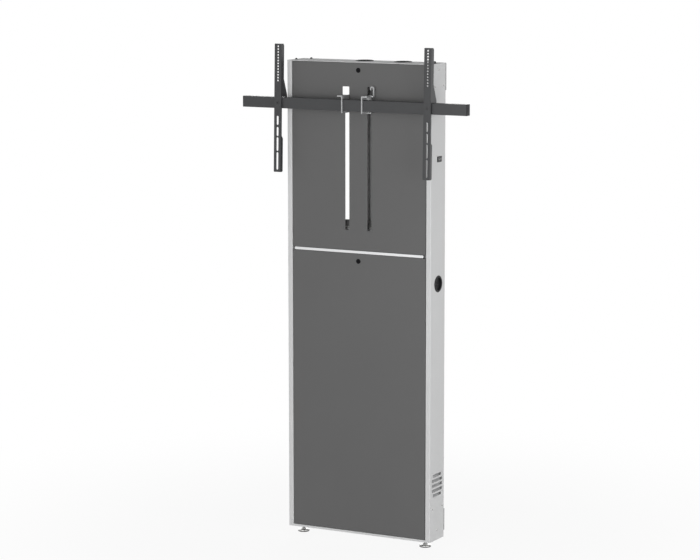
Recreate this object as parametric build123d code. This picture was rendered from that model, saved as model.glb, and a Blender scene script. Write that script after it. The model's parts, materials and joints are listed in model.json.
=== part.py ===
from build123d import *
import math
import os

# A wall fixed electric lift for a flat screen, in millimetres.
# X runs to the right, Y runs into the wall and Z runs up. The origin is the centre of the four wall
# holes, on the face that lies against the wall. Heights are given above the floor and turned into Z
# by the function level. Depths are given behind the front face and turned into Y by the function inside.

os.makedirs("parts", exist_ok=True)

# Case
case_width = 580.0
case_depth = 116.0
wall_gap = 4.0
sheet = 2.0
bend = 1.0
front_flange = 19.0
return_lip = 12.0
rear_flange = 60.0
foot_height = 26.0
bottom_sheet = 3.0
bottom_lip = 8.0
bottom_rear_lip = 20.0
front_screw_depth = 18.0
rear_screw_depth = 98.0

# Front panels
panel_sheet = 1.5
panel_gap = 1.5
panel_recess = 0.5
panel_return = 12.0
panel_corner = 1.5
lower_panel_height = 1022.0
joint_gap = 12.0
slot_rise = 72.5
head_room = 85.0
cover_gap = 1.0
tongue_width = 30.0
tongue_spacing = 400.0
tongue_inset = 2.5
seat = 0.3

# Trim strip between the panels
trim_height = 9.3
trim_inset = 7.7
trim_thickness = 2.5
trim_proud = 0.3
trim_stem = 3.0

# Locks
upper_lock_inset = 26.0
lower_lock_inset = 27.0
lock_bezel_radius = 8.8
lock_bezel = 1.7
lock_barrel_radius = 7.0
lock_barrel_length = 18.0
lock_nut_radius = 10.5
lock_nut = 4.0
lock_plug_radius = 5.0
lock_square = 7.0
cam_thickness = 3.0
cam_width = 12.0
cam_reach = 22.0
cam_gap = 1.0
key_width = 1.4
key_length = 7.0
key_depth = 8.0
strike_width = 60.0
strike_clearance = 2.0
hole_clearance = 0.1
turning_fit = 0.05

# Lift travel and the slots that it needs
travel_down = 388.0
service_rise = 20.0
slot_width = 16.5
slot_wing_clearance = 3.5
slot_head_height = 30.0
slot_end_margin = 9.0
slot_corner = 2.0
slot_side_clearance = 1.5

# Hook plates
hook_height = 63.0
hook_spacing = 80.0
hook_sheet = 4.0
hook_leg = 5.0
hook_wing = 20.0
hook_foot = 8.0
hook_corner = 3.0
hook_ear = 8.0
hook_ear_set_out = 9.0
hook_ear_height = 33.0
hook_ear_roll = 8.0
hook_ear_tip = 5.0
hook_shelf = 16.0
panel_clearance = 3.0
hook_tab = 30.0
hook_bolt_radius = 4.0
hook_bolt_head = 5.0
hook_bolt_flats = 13.0
hook_bolt_inset = 14.0

# Crossbar
bar_length = 900.0
bar_height = 40.0
bar_depth = 25.0
bar_wall = 2.0
bar_set_out = 20.0
bar_fit = 0.3
bar_corner = 2.0
bar_cap = 2.0
bar_plug = 12.0

# Screen arms
arm_spacing = 600.0
arm_height = 461.5
arm_drop = 249.8
arm_lean = 1.5
arm_flange = 28.0
arm_sheet = 3.0
arm_web = 20.0
arm_hook_web = 45.0
arm_foot_web = 16.0
arm_bar_gap = 5.0
arm_hook_lip = 28.0
arm_flare_height = 59.0
arm_flare_rise = 6.0
arm_relief = 100.0
arm_chamfer = 6.0
arm_hole_radius = 3.3
arm_hole_pitch = 10.2
arm_hole_count = 13
arm_hole_inset = 9.7
arm_slot_width = 8.5
arm_slots = ((259.0, 33.0), (299.0, 33.0), (336.5, 49.0), (390.0, 63.0))
arm_screw_radius = 3.0
arm_screw_head_radius = 5.5

# Cable openings, switch and vent
side_grommet_height = 961.0
side_grommet_depth = 60.0
side_hole_radius = 27.0
side_grommet_radius = 30.0
top_grommet_places = (-18.0, 137.0)
top_grommet_depth = 83.0
top_hole_radius = 29.5
top_grommet_radius = 32.5
grommet_wall = 3.0
grommet_rim = 2.5
grommet_sleeve = 10.0
switch_height = 1407.0
switch_depth = 65.5
switch_bezel_length = 34.0
switch_bezel_height = 20.0
switch_bezel = 2.0
switch_body_length = 30.0
switch_body_height = 17.0
switch_body_depth = 20.0
switch_wall = 0.7
rocker_gap = 1.0
rocker_side_gap = 0.4
rocker_proud = 1.4
rocker_dip = 1.6
rocker_pivot = 6.0
rocker_pin_radius = 1.5
vent_height = 229.8
vent_depth = 58.0
vent_pitch = 18.0
vent_slot_height = 11.0
vent_slot_lengths = (66.0, 82.0, 82.0, 82.0, 66.0)
vent_corner = 1.5

# Wall rails
rail_sheet = 3.0
rail_height = 95.0
rail_lip = 17.0
rail_lip_length = 70.0
rail_back_lip_length = 45.0
rail_corner = 8.0
lower_rail_rise = 24.0
lower_rail_height = 80.0
lower_arm_height = 104.0
fixing_spacing = 440.0
fixing_radius = 4.5
rail_front_gap = 6.0

# Screws of the side walls and the top cover
screw_radius = 2.5
screw_head_radius = 4.5
screw_head = 2.2
screw_rise = 8.0
cover_screw_radius = 2.0
cover_screw_head_radius = 4.5
cover_screw_head = 5.0
cover_screw_inset = 8.0
cover_screw_depth = 50.0

# Mast and drive
mast_width = 90.0
mast_depth = 66.0
mast_wall = 4.0
mast_mouth = 44.0
mast_corner = 3.0
mast_head = 43.0
mast_foot = 142.0
mast_bolt_spacing = 56.0
mast_bolt_radius = 3.0
mast_bolt_flats = 10.0
mast_bolt_head = 4.0
bracket_sheet = 3.0
bracket_height = 100.0
bracket_lip = 15.0
bracket_rise = 20.0
head_bracket_height = 70.0
head_bracket_width = 120.0
head_bracket_rise = 5.0
spindle_radius = 8.0
spindle_lead = 8.0
journal_radius = 6.0
bearing_height = 20.0
bearing_gap = 8.0
bearing_drop = 26.0
coupling_radius = 15.0
coupling_height = 30.0
gearbox_height = 56.0
gearbox_width = 60.0
gearbox_corner = 5.0
shaft_depth = 20.0
motor_radius = 27.0
motor_length = 120.0
motor_cap_height = 30.0
drive_gap = 2.0

# Carriage
pad_thickness = 5.0
pad_height = 18.0
pad_width = 13.0
pad_clearance = 0.3
carriage_sheet = 6.0
carriage_width = 104.0
carriage_corner = 4.0
neck_width = 34.0
neck_margin = 4.0
nut_radius = 13.0
nut_wall = 4.0
nut_flange_radius = 15.5
nut_flange = 4.0

# Stops
buffer_width = 34.0
buffer_height = 22.0
buffer_seat = 7.0
buffer_margin = 2.0
buffer_corner = 2.0
buffer_chamfer = 1.5
buffer_set_out = 10.0
buffer_screw_radius = 2.5
buffer_screw_flats = 8.0
buffer_screw_head = 3.0
buffer_screw_depth = 12.0
stop_clearance = 1.0
cross_sheet = 2.0
cross_drop = 102.0
cross_rise = 5.0
cross_lip = 27.0
cross_gap = 4.0
cross_mast_gap = 9.0

# Feet
foot_spacing = 503.0
foot_depth = 42.0
foot_radius = 21.0
foot_pad_height = 6.5
foot_peg_radius = 4.0
foot_peg_length = 4.0
foot_stem_radius = 5.0
foot_hex = 17.0
foot_hex_height = 5.0
foot_nut_height = 8.0
foot_insert_radius = 9.0
foot_insert_height = 14.0
foot_stem_top = 56.0

# Control box and its inlet
box_width = 150.0
box_depth = 44.0
box_height = 90.0
box_side = 110.0
box_corner = 4.0
inlet_width = 48.0
inlet_depth = 22.0
inlet_height = 12.0
inlet_set_back = 4.0
inlet_wall = 2.0
inlet_socket_width = 25.0
inlet_socket_depth = 16.0
inlet_pin_pitch = 7.0
inlet_pin_width = 2.0
inlet_pin_depth = 4.0

# Limit switches
limit_width = 10.0
limit_depth = 16.0
limit_height = 8.0
limit_set_in = 10.0

# Heights above the floor, from the floor upwards
panel_bottom = foot_height + bottom_lip + panel_gap
lower_panel_top = panel_bottom + lower_panel_height
joint_height = lower_panel_top + joint_gap / 2
upper_panel_bottom = lower_panel_top + joint_gap
slot_bottom = upper_panel_bottom + slot_rise
cross_top = slot_bottom + cross_rise
buffer_bottom = cross_top + buffer_seat
buffer_top = buffer_bottom + buffer_height
hook_bottom = buffer_top + stop_clearance + travel_down
hook_top = hook_bottom + hook_height
neck_bottom = hook_bottom + neck_margin
neck_top = hook_top - neck_margin
slot_top = hook_top + service_rise + slot_end_margin
upper_panel_top = slot_top + head_room
cover_bottom = upper_panel_top + cover_gap
case_top = cover_bottom + sheet
bar_bottom = hook_bottom + hook_foot + bar_fit
bar_middle = bar_bottom + bar_height / 2
bar_top = bar_bottom + bar_height
upper_rail_bottom = cover_bottom - rail_height
lower_rail_bottom = foot_height + lower_rail_rise
upper_fixing = upper_rail_bottom + rail_height / 2
lower_fixing = lower_rail_bottom + lower_rail_height / 2
origin_height = (upper_fixing + lower_fixing) / 2
arm_bottom = bar_middle - arm_drop
arm_top = arm_bottom + arm_height
arm_play = bar_fit + bar_height / 2 * math.sin(math.radians(arm_lean))
mast_top = slot_top + mast_head
mast_bottom = slot_bottom - mast_foot
bracket_bottom = mast_bottom + bracket_rise
bracket_top = bracket_bottom + bracket_height
upper_bearing_top = mast_top - bearing_gap
upper_bearing_bottom = upper_bearing_top - bearing_height
lower_bearing_top = slot_bottom - bearing_drop
lower_bearing_bottom = lower_bearing_top - bearing_height
coupling_top = lower_bearing_bottom - drive_gap
gearbox_top = coupling_top - coupling_height - drive_gap
motor_top = gearbox_top - gearbox_height
upper_lock_height = upper_panel_top - upper_lock_inset
lower_lock_height = lower_panel_top - lower_lock_inset
box_top = bracket_top - bracket_sheet
box_bottom = box_top - box_height
rail_spans = (
    (upper_rail_bottom, cover_bottom),
    (lower_rail_bottom, lower_rail_bottom + lower_arm_height),
)

# Places across and into the case
front = -(wall_gap + case_depth)
half_width = case_width / 2
half_inner = half_width - sheet
half_opening = half_width - front_flange
half_panel = half_opening - panel_gap
panel_front = front + panel_recess
panel_back = panel_front + panel_sheet
panel_return_end = panel_front + panel_return
rear_face = -wall_gap
rear_inner = rear_face - sheet
mast_back = rear_inner - bracket_sheet
mast_front = mast_back - mast_depth
carriage_back = mast_front - pad_thickness
carriage_front = carriage_back - carriage_sheet
cross_front = panel_return_end + cross_gap
cross_back = mast_front - cross_mast_gap
cross_middle = (cross_front + cross_back) / 2
bar_back = front - bar_set_out
bar_front = bar_back - bar_depth
arm_back = bar_front - arm_bar_gap
arm_front = arm_back - arm_sheet
hook_front = bar_front - bar_fit - hook_leg
hook_inner = hook_spacing / 2 - hook_sheet / 2
hook_outer = hook_spacing / 2 + hook_sheet / 2
slot_inner = hook_inner - slot_side_clearance
spindle_place = (mast_back + mast_front) / 2
lock_back = panel_front + lock_barrel_length
cam_front = cross_front + cross_sheet + cam_gap
buffer_place = hook_spacing / 2 + buffer_set_out
wing_side = hook_outer + hook_wing - hook_sheet / 2
slot_head_width = wing_side + slot_wing_clearance - slot_inner
screw_middle = (front_screw_depth + rear_screw_depth) / 2
arm_middle_height = lower_rail_bottom + lower_arm_height - screw_rise
side_screw_places = (
    (front_screw_depth, arm_middle_height),
    (rear_screw_depth, arm_middle_height),
    (screw_middle, lower_rail_bottom + 1.5 * screw_rise),
    (front_screw_depth + screw_rise, upper_rail_bottom + 2 * screw_rise),
    (rear_screw_depth, upper_rail_bottom + 2 * screw_rise),
    (screw_middle, cover_bottom - 2.5 * screw_rise),
)
cover_screw_places = (
    (half_inner - cover_screw_inset, front + cover_screw_depth),
    (half_inner - rail_lip - rail_back_lip_length + 3 * cover_screw_inset, rear_face - cover_screw_inset),
)


def level(height):
    """Z of a height above the floor."""
    return height - origin_height


def inside(depth):
    """Y of a depth behind the front face of the case."""
    return front + depth


def block(left, right, near, far, bottom, top):
    """Box between two X, two Y and two heights above the floor."""
    middle = ((left + right) / 2, (near + far) / 2, level((bottom + top) / 2))
    return Pos(*middle) * Box(right - left, far - near, top - bottom)


def round_z(radius, bottom, top, x=0.0, y=0.0):
    """Upright cylinder between two heights above the floor."""
    return Pos(x, y, level((bottom + top) / 2)) * Cylinder(radius, top - bottom)


def round_y(radius, near, far, x, height):
    """Cylinder along Y."""
    return Pos(x, (near + far) / 2, level(height)) * Rot(90, 0, 0) * Cylinder(radius, far - near)


def round_x(radius, left, right, y, height):
    """Cylinder along X."""
    return Pos((left + right) / 2, y, level(height)) * Rot(0, 90, 0) * Cylinder(radius, right - left)


def hex_prism(across_flats, height):
    """Hexagon prism standing on the XY plane."""
    return extrude(RegularPolygon(across_flats / 2, 6, major_radius=False), height)


def both_sides(shape):
    """The shape and its mirror image in the middle plane of the case."""
    return Compound(children=[*shape.solids(), *mirror(shape, about=Plane.YZ).solids()])


def folded_section(path, thickness):
    """Face of a folded sheet whose outer line is path, with the sheet on its left and rounded bends."""
    steps = [Vector(*b) - Vector(*a) for a, b in zip(path, path[1:])]
    normals = [Vector(-step.Y, step.X).normalized() for step in steps]
    inner = [Vector(*path[0]) + normals[0] * thickness]
    for index in range(1, len(path) - 1):
        before, after = normals[index - 1], normals[index]
        inner.append(Vector(*path[index]) + (before + after) * (thickness / (1 + before.dot(after))))
    inner.append(Vector(*path[-1]) + normals[-1] * thickness)
    outline = [Vector(*point) for point in path] + inner[::-1]
    face = make_face(Polyline(*outline, close=True))
    for index in range(1, len(path) - 1):
        turn = steps[index - 1].cross(steps[index]).Z
        outer_radius, inner_radius = (bend + thickness, bend) if turn > 0 else (bend, bend + thickness)
        for point, radius in ((Vector(*path[index]), outer_radius), (inner[index], inner_radius)):
            corner = face.vertices().sort_by_distance(point)[0]
            face = fillet(corner, radius)
    return face


def side_wall():
    """Right side wall: web, front flange with its return lip, and rear flange."""
    path = [
        (half_opening, inside(return_lip)),
        (half_opening, front),
        (half_width, front),
        (half_width, rear_face),
        (half_width - rear_flange, rear_face),
    ]
    wall = extrude(folded_section(path, sheet), cover_bottom - foot_height)
    wall = Pos(0, 0, level(foot_height)) * wall
    notch_left = half_width - rear_flange - 1
    for bottom, top in rail_spans:
        wall -= block(notch_left, half_inner, rear_inner - sheet, rear_face, bottom, top)
    for depth, height in side_screw_places:
        wall -= round_x(screw_radius + hole_clearance, half_inner, half_width, inside(depth), height)
    return wall


def right_wall_openings():
    """Cut-outs of the right side wall: vent, cable hole and switch."""
    first = vent_height + vent_pitch * (len(vent_slot_lengths) - 1) / 2
    cuts = Part()
    for row, length in enumerate(vent_slot_lengths):
        slot = extrude(Plane.YZ * RectangleRounded(length, vent_slot_height, vent_corner), sheet)
        cuts += Pos(half_inner, inside(vent_depth), level(first - row * vent_pitch)) * slot
    hole = side_hole_radius + hole_clearance
    cuts += round_x(hole, half_inner, half_width, inside(side_grommet_depth), side_grommet_height)
    cuts += block(
        half_inner,
        half_width,
        inside(switch_depth) - switch_body_length / 2 - hole_clearance,
        inside(switch_depth) + switch_body_length / 2 + hole_clearance,
        switch_height - switch_body_height / 2 - hole_clearance,
        switch_height + switch_body_height / 2 + hole_clearance,
    )
    return cuts


def side_screws():
    """Pan head screws that hold one side wall to the arms of the wall rails."""
    group = []
    for depth, height in side_screw_places:
        shank = round_x(screw_radius, half_inner - rail_sheet, half_width, inside(depth), height)
        head = round_x(screw_head_radius, half_width, half_width + screw_head, inside(depth), height)
        head = chamfer(head.edges().sort_by(Axis.X)[-1], screw_head / 2)
        group.append(shank + head)
    return Compound(children=[solid for screw in group for solid in screw.solids()])


def rail(bottom, top, arm_top_height):
    """Wall plate with an arm along each side wall."""
    arm_end = inside(return_lip + rail_front_gap)
    plate = block(-half_width, half_width, rear_face, 0, bottom, top)
    arm = block(half_inner - rail_sheet, half_inner, arm_end, rear_face, bottom, arm_top_height)
    arm = fillet(arm.edges().filter_by(Axis.X).sort_by(Axis.Y)[:2], rail_corner)
    for depth, height in side_screw_places:
        if bottom < height < arm_top_height:
            arm -= round_x(screw_radius, half_inner - rail_sheet, half_inner, inside(depth), height)
    body = plate + arm + mirror(arm, about=Plane.YZ)
    for side in (-1, 1):
        body -= round_y(fixing_radius, rear_face, 0, side * fixing_spacing / 2, (bottom + top) / 2)
    return body


def top_wall_rail():
    """Upper wall rail, with lips under the top cover for the cover screws."""
    body = rail(upper_rail_bottom, cover_bottom, cover_bottom)
    lip_bottom = cover_bottom - rail_sheet
    inner = half_inner - rail_lip
    middle = inside(cover_screw_depth)
    half = rail_lip_length / 2
    side_lip = block(inner, half_inner, middle - half, middle + half, lip_bottom, cover_bottom)
    back_lip = block(
        inner - rail_back_lip_length, inner, rear_face - rail_lip, rear_face, lip_bottom, cover_bottom
    )
    for place in cover_screw_places:
        hole = round_z(cover_screw_radius, lip_bottom, cover_bottom, *place)
        side_lip -= hole
        back_lip -= hole
    body += side_lip + mirror(side_lip, about=Plane.YZ)
    body += back_lip + mirror(back_lip, about=Plane.YZ)
    return body


def top_cover():
    """Top sheet with two cable holes and a strike lip for the upper lock."""
    cover = block(-half_width, half_width, front, 0, cover_bottom, case_top)
    cover = fillet(cover.edges().filter_by(Axis.Z), 2)
    strike = block(
        -strike_width / 2,
        strike_width / 2,
        cross_front,
        cross_front + cross_sheet,
        upper_lock_height + lock_barrel_radius + strike_clearance,
        cover_bottom,
    )
    cover += strike
    hole = top_hole_radius + hole_clearance
    for place in top_grommet_places:
        cover -= round_z(hole, cover_bottom, case_top, place, inside(top_grommet_depth))
    for x, y in cover_screw_places:
        for side in (-1, 1):
            cover -= round_z(cover_screw_radius + hole_clearance, cover_bottom, case_top, side * x, y)
    return cover


def cover_screws():
    """Screws of the top cover."""
    group = []
    for x, y in cover_screw_places:
        for side in (-1, 1):
            shank = round_z(cover_screw_radius, cover_bottom - rail_sheet, case_top, side * x, y)
            head = round_z(cover_screw_head_radius, case_top, case_top + cover_screw_head, side * x, y)
            head = chamfer(head.edges().sort_by(Axis.Z)[-1], cover_screw_head / 2)
            group.append(shank + head)
    return Compound(children=[solid for screw in group for solid in screw.solids()])


def bottom_plate():
    """Bottom sheet between the side walls, with the front rail and holes for the feet."""
    plate_top = foot_height + bottom_sheet
    lip_end = inside(return_lip)
    plate = block(-half_inner, half_inner, lip_end, rear_inner, foot_height, plate_top)
    plate += block(-half_opening, half_opening, front, lip_end, foot_height, plate_top)
    plate += block(-half_opening, half_opening, front, inside(sheet), foot_height, foot_height + bottom_lip)
    rear_top = foot_height + bottom_rear_lip
    plate += block(-half_inner, half_inner, rear_inner - sheet, rear_inner, plate_top, rear_top)
    plate = chamfer(plate.edges().filter_by(Axis.Z).group_by(Axis.Y)[-1], bend)
    for side in (-1, 1):
        plate -= round_z(
            foot_stem_radius + 1, foot_height, plate_top, side * foot_spacing / 2, inside(foot_depth)
        )
    return plate


def mid_cross_member():
    """Folded rail behind the joint of the panels, which carries the rubber stops."""
    cross_bottom = cross_top - cross_drop
    path = [
        (cross_back, level(cross_top - cross_lip)),
        (cross_back, level(cross_top)),
        (cross_front, level(cross_top)),
        (cross_front, level(cross_bottom)),
    ]
    section = Plane.YZ * folded_section(path, cross_sheet)
    body = extrude(section, half_inner, both=True)
    for side in (-1, 1):
        body -= round_z(
            buffer_screw_radius,
            cross_top - cross_sheet,
            cross_top,
            side * buffer_place,
            cross_middle,
        )
    return body


def trim_strip():
    """Bright strip with round ends in the joint of the panels, on a stem from the cross member."""
    half_strip = half_panel - trim_inset
    face = SlotOverall(2 * half_strip, trim_height)
    front_face = panel_front - trim_proud
    strip = extrude(Plane.XZ * face, -trim_thickness)
    strip = Pos(0, front_face, level(joint_height)) * strip
    stem = block(
        -half_strip + trim_height,
        half_strip - trim_height,
        front_face + trim_thickness,
        cross_front,
        joint_height - trim_stem / 2,
        joint_height + trim_stem / 2,
    )
    return strip + stem


def panel_tray(bottom, top):
    """Front panel: flat face with its edges folded back."""
    tray = block(-half_panel, half_panel, panel_front, panel_return_end, bottom, top)
    tray = fillet(tray.edges().filter_by(Axis.Y), panel_corner)
    tray = fillet(tray.faces().sort_by(Axis.Y)[0].edges(), bend)
    hollow = block(
        -half_panel + panel_sheet,
        half_panel - panel_sheet,
        panel_back,
        panel_return_end,
        bottom + panel_sheet,
        top - panel_sheet,
    )
    return tray - hollow


def slot_cut():
    """Stepped slot on the right: narrow for the hook plate, wide at its head for the wing."""
    narrow = Pos(slot_width / 2, (slot_top - slot_bottom) / 2) * Rectangle(slot_width, slot_top - slot_bottom)
    head = Pos(slot_head_width / 2, slot_top - slot_bottom - slot_head_height / 2) * Rectangle(
        slot_head_width, slot_head_height
    )
    outline = narrow + head
    outline = fillet(outline.vertices(), slot_corner)
    cut = extrude(Plane.XZ * outline, -panel_sheet)
    return Pos(slot_inner, panel_front, level(slot_bottom)) * cut


def upper_front_panel():
    """Upper panel with two stepped slots and the hole of the lock, seated on the cross member."""
    panel = panel_tray(upper_panel_bottom, upper_panel_top)
    cut = slot_cut()
    panel -= cut
    panel -= mirror(cut, about=Plane.YZ)
    panel -= round_y(lock_barrel_radius + hole_clearance, panel_front, panel_back, 0, upper_lock_height)
    for side in (-1, 1):
        middle = side * tongue_spacing / 2
        panel += block(
            middle - tongue_width / 2,
            middle + tongue_width / 2,
            panel_return_end - panel_sheet,
            cross_front,
            upper_panel_bottom,
            upper_panel_bottom + panel_sheet,
        )
    return panel


def lower_front_panel():
    """Lower panel, which stands on two tongues behind the front rail and tilts out at the top."""
    panel = panel_tray(panel_bottom, lower_panel_top)
    panel -= round_y(lock_barrel_radius + hole_clearance, panel_front, panel_back, 0, lower_lock_height)
    for side in (-1, 1):
        middle = side * tongue_spacing / 2
        panel += block(
            middle - tongue_width / 2,
            middle + tongue_width / 2,
            panel_back + tongue_inset,
            panel_back + tongue_inset + sheet,
            foot_height + bottom_sheet + seat,
            panel_bottom + panel_sheet,
        )
    return panel


def lock_housing(height):
    """Cam lock body: bezel, barrel and clamping nut."""
    bezel = round_y(lock_bezel_radius, panel_front - lock_bezel, panel_front, 0, height)
    bezel = chamfer(bezel.edges().sort_by(Axis.Y)[0], lock_bezel / 3)
    barrel = round_y(lock_barrel_radius, panel_front, lock_back, 0, height)
    nut = Pos(0, panel_back, level(height)) * Rot(-90, 0, 0) * hex_prism(2 * lock_nut_radius, lock_nut)
    bore = round_y(lock_plug_radius + turning_fit, panel_front - lock_bezel, lock_back, 0, height)
    return bezel + barrel + nut - bore


def lock_plug(height):
    """Key plug with its key slot in front and a square for the cam behind."""
    plug = round_y(lock_plug_radius, panel_front - lock_bezel, lock_back, 0, height)
    half_square = lock_square / 2
    end = cam_front + cam_thickness
    plug += block(-half_square, half_square, lock_back, end, height - half_square, height + half_square)
    plug -= block(
        -key_width / 2,
        key_width / 2,
        panel_front - lock_bezel,
        panel_front - lock_bezel + key_depth,
        height - key_length / 2,
        height + key_length / 2,
    )
    return plug


def lock_cam(height):
    """Cam, turned to the side, where the panel is free."""
    outline = Pos((cam_reach - cam_width / 2) / 2, 0) * SlotOverall(cam_reach + cam_width / 2, cam_width)
    outline -= Rectangle(lock_square, lock_square)
    cam = extrude(Plane.XZ * outline, -cam_thickness)
    return Pos(0, cam_front, level(height)) * cam


def side_grommet():
    """Cable grommet in the right side wall."""
    y = inside(side_grommet_depth)
    rim = round_x(side_grommet_radius, half_width, half_width + grommet_rim, y, side_grommet_height)
    rim = chamfer(rim.edges().sort_by(Axis.X)[-1], grommet_rim / 3)
    sleeve = round_x(side_hole_radius, half_width - grommet_sleeve, half_width, y, side_grommet_height)
    barb = round_x(side_hole_radius + 1.5, half_inner - 3, half_inner, y, side_grommet_height)
    bore = round_x(
        side_hole_radius - grommet_wall,
        half_width - grommet_sleeve,
        half_width + grommet_rim,
        y,
        side_grommet_height,
    )
    return rim + sleeve + barb - bore


def top_grommets():
    """Cable grommets in the top cover."""
    group = []
    y = inside(top_grommet_depth)
    for x in top_grommet_places:
        rim = round_z(top_grommet_radius, case_top, case_top + grommet_rim, x, y)
        rim = chamfer(rim.edges().sort_by(Axis.Z)[-1], grommet_rim / 3)
        sleeve = round_z(top_hole_radius, case_top - grommet_sleeve, case_top, x, y)
        bore = round_z(
            top_hole_radius - grommet_wall, case_top - grommet_sleeve, case_top + grommet_rim, x, y
        )
        group.append(rim + sleeve - bore)
    return Compound(children=[solid for ring in group for solid in ring.solids()])


def switch_housing():
    """Rocker switch body with its bezel on the right side wall."""
    y = inside(switch_depth)
    bezel = block(
        half_width,
        half_width + switch_bezel,
        y - switch_bezel_length / 2,
        y + switch_bezel_length / 2,
        switch_height - switch_bezel_height / 2,
        switch_height + switch_bezel_height / 2,
    )
    bezel = fillet(bezel.edges().filter_by(Axis.X), 2)
    body = block(
        half_width - switch_body_depth,
        half_width,
        y - switch_body_length / 2,
        y + switch_body_length / 2,
        switch_height - switch_body_height / 2,
        switch_height + switch_body_height / 2,
    )
    well = block(
        half_width - switch_body_depth + 3,
        half_width + switch_bezel,
        y - switch_body_length / 2 + switch_wall,
        y + switch_body_length / 2 - switch_wall,
        switch_height - switch_body_height / 2 + switch_wall,
        switch_height + switch_body_height / 2 - switch_wall,
    )
    pin_hole = round_z(
        rocker_pin_radius + turning_fit,
        switch_height - switch_body_height / 2,
        switch_height + switch_body_height / 2,
        half_width - rocker_pivot,
        y,
    )
    return bezel + body - well - pin_hole


def switch_rocker():
    """Rocker with a shallow valley, pivoting about an upright pin line."""
    half_length = switch_body_length / 2 - switch_wall - rocker_gap
    half_height = switch_body_height / 2 - switch_wall - rocker_side_gap
    face = half_width + switch_bezel
    outline = make_face(
        Polyline(
            (face + rocker_proud, -half_length),
            (face + rocker_proud - rocker_dip, 0),
            (face + rocker_proud, half_length),
            (half_width - rocker_pivot, half_length),
            (half_width - rocker_pivot - 6, 4),
            (half_width - rocker_pivot - 6, -4),
            (half_width - rocker_pivot, -half_length),
            close=True,
        )
    )
    rocker = extrude(outline, half_height, both=True)
    rocker += Pos(half_width - rocker_pivot, 0, 0) * Cylinder(rocker_pin_radius, switch_body_height)
    return Pos(0, inside(switch_depth), level(switch_height)) * rocker


def mast_profile():
    """Extruded channel with its mouth to the front, in which the carriage runs."""
    outline = Pos(0, spindle_place) * RectangleRounded(mast_width, mast_depth, mast_corner)
    inner = Pos(0, spindle_place) * Rectangle(mast_width - 2 * mast_wall, mast_depth - 2 * mast_wall)
    opening = Pos(0, mast_front + mast_wall / 2) * Rectangle(mast_mouth, mast_wall)
    mast = extrude(outline - inner - opening, mast_top - mast_bottom)
    mast = Pos(0, 0, level(mast_bottom)) * mast
    for x, height in mast_bolt_places():
        mast -= round_y(mast_bolt_radius, mast_back - mast_wall, mast_back, x, height)
    return mast


def lower_mast_bracket():
    """Folded cross plate between the rear flanges, behind the foot of the mast."""
    plate = block(-half_inner, half_inner, mast_back, rear_inner, bracket_bottom, bracket_top)
    plate = chamfer(plate.edges().filter_by(Axis.Z).group_by(Axis.Y)[-1], bend)
    for edge in (bracket_bottom, bracket_top - bracket_sheet):
        for side in (-1, 1):
            ends = sorted((side * (mast_width / 2 + 1), side * half_inner))
            plate += block(*ends, mast_back - bracket_lip, mast_back, edge, edge + bracket_sheet)
    for x, height in mast_bolt_places():
        plate -= round_y(mast_bolt_radius, mast_back, rear_inner, x, height)
    return plate


def upper_mast_bracket():
    """Spacer plate between the head of the mast and the upper wall rail."""
    bottom = upper_rail_bottom + head_bracket_rise
    half = head_bracket_width / 2
    plate = block(-half, half, mast_back, rear_face, bottom, bottom + head_bracket_height)
    for x, height in mast_bolt_places():
        plate -= round_y(mast_bolt_radius, mast_back, rear_face, x, height)
    return plate


def mast_bolt_places():
    """Places of the mast bolts, as X and height: above the gearbox and below the upper bearing."""
    lower = gearbox_top + coupling_height / 2
    upper = upper_bearing_bottom - mast_bolt_flats
    return [(side * mast_bolt_spacing / 2, height) for side in (-1, 1) for height in (lower, upper)]


def mast_bolts():
    """Bolts that hold the mast to its brackets, with heads inside the channel."""
    group = []
    wall_inner = mast_back - mast_wall
    for x, height in mast_bolt_places():
        head = Pos(x, wall_inner - mast_bolt_head, level(height)) * Rot(-90, 0, 0) * hex_prism(
            mast_bolt_flats, mast_bolt_head
        )
        group.append(head + round_y(mast_bolt_radius, wall_inner, rear_face, x, height))
    return Compound(children=[solid for bolt in group for solid in bolt.solids()])


def bearing_block(bottom, top, radius):
    """Block across the inside of the mast with the bearing seat of the spindle."""
    half = mast_width / 2 - mast_wall
    body = block(-half, half, mast_front + mast_wall, mast_back - mast_wall, bottom, top)
    return body - round_z(radius + turning_fit, bottom, top, 0, spindle_place)


def spindle():
    """Trapezoidal spindle with a journal at each end."""
    lower_end = lower_bearing_top + stop_clearance
    upper_end = upper_bearing_bottom - stop_clearance
    thread = round_z(spindle_radius, lower_end, upper_end, 0, spindle_place)
    lower = round_z(journal_radius, coupling_top - coupling_height / 2, lower_end, 0, spindle_place)
    upper = round_z(journal_radius, upper_end, upper_bearing_top, 0, spindle_place)
    return thread + lower + upper


def shaft_coupling():
    """Coupling between the gearbox shaft and the spindle."""
    body = round_z(coupling_radius, coupling_top - coupling_height, coupling_top, 0, spindle_place)
    body = chamfer(body.edges(), coupling_radius / 10)
    return body - round_z(journal_radius, coupling_top - coupling_height, coupling_top, 0, spindle_place)


def gearbox():
    """Gearbox housing across the foot of the mast, with the bore of its output shaft."""
    half = gearbox_width / 2
    near = mast_front + mast_wall
    far = mast_back - mast_wall
    body = block(-half, half, near, far, motor_top, gearbox_top)
    body = fillet(body.edges().filter_by(Axis.Z), gearbox_corner)
    bore_floor = gearbox_top - shaft_depth - seat
    return body - round_z(journal_radius + turning_fit, bore_floor, gearbox_top, 0, spindle_place)


def gear_shaft():
    """Output shaft of the gearbox, which the coupling holds."""
    top = coupling_top - coupling_height / 2 - stop_clearance
    return round_z(journal_radius, gearbox_top - shaft_depth, top, 0, spindle_place)


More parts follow.
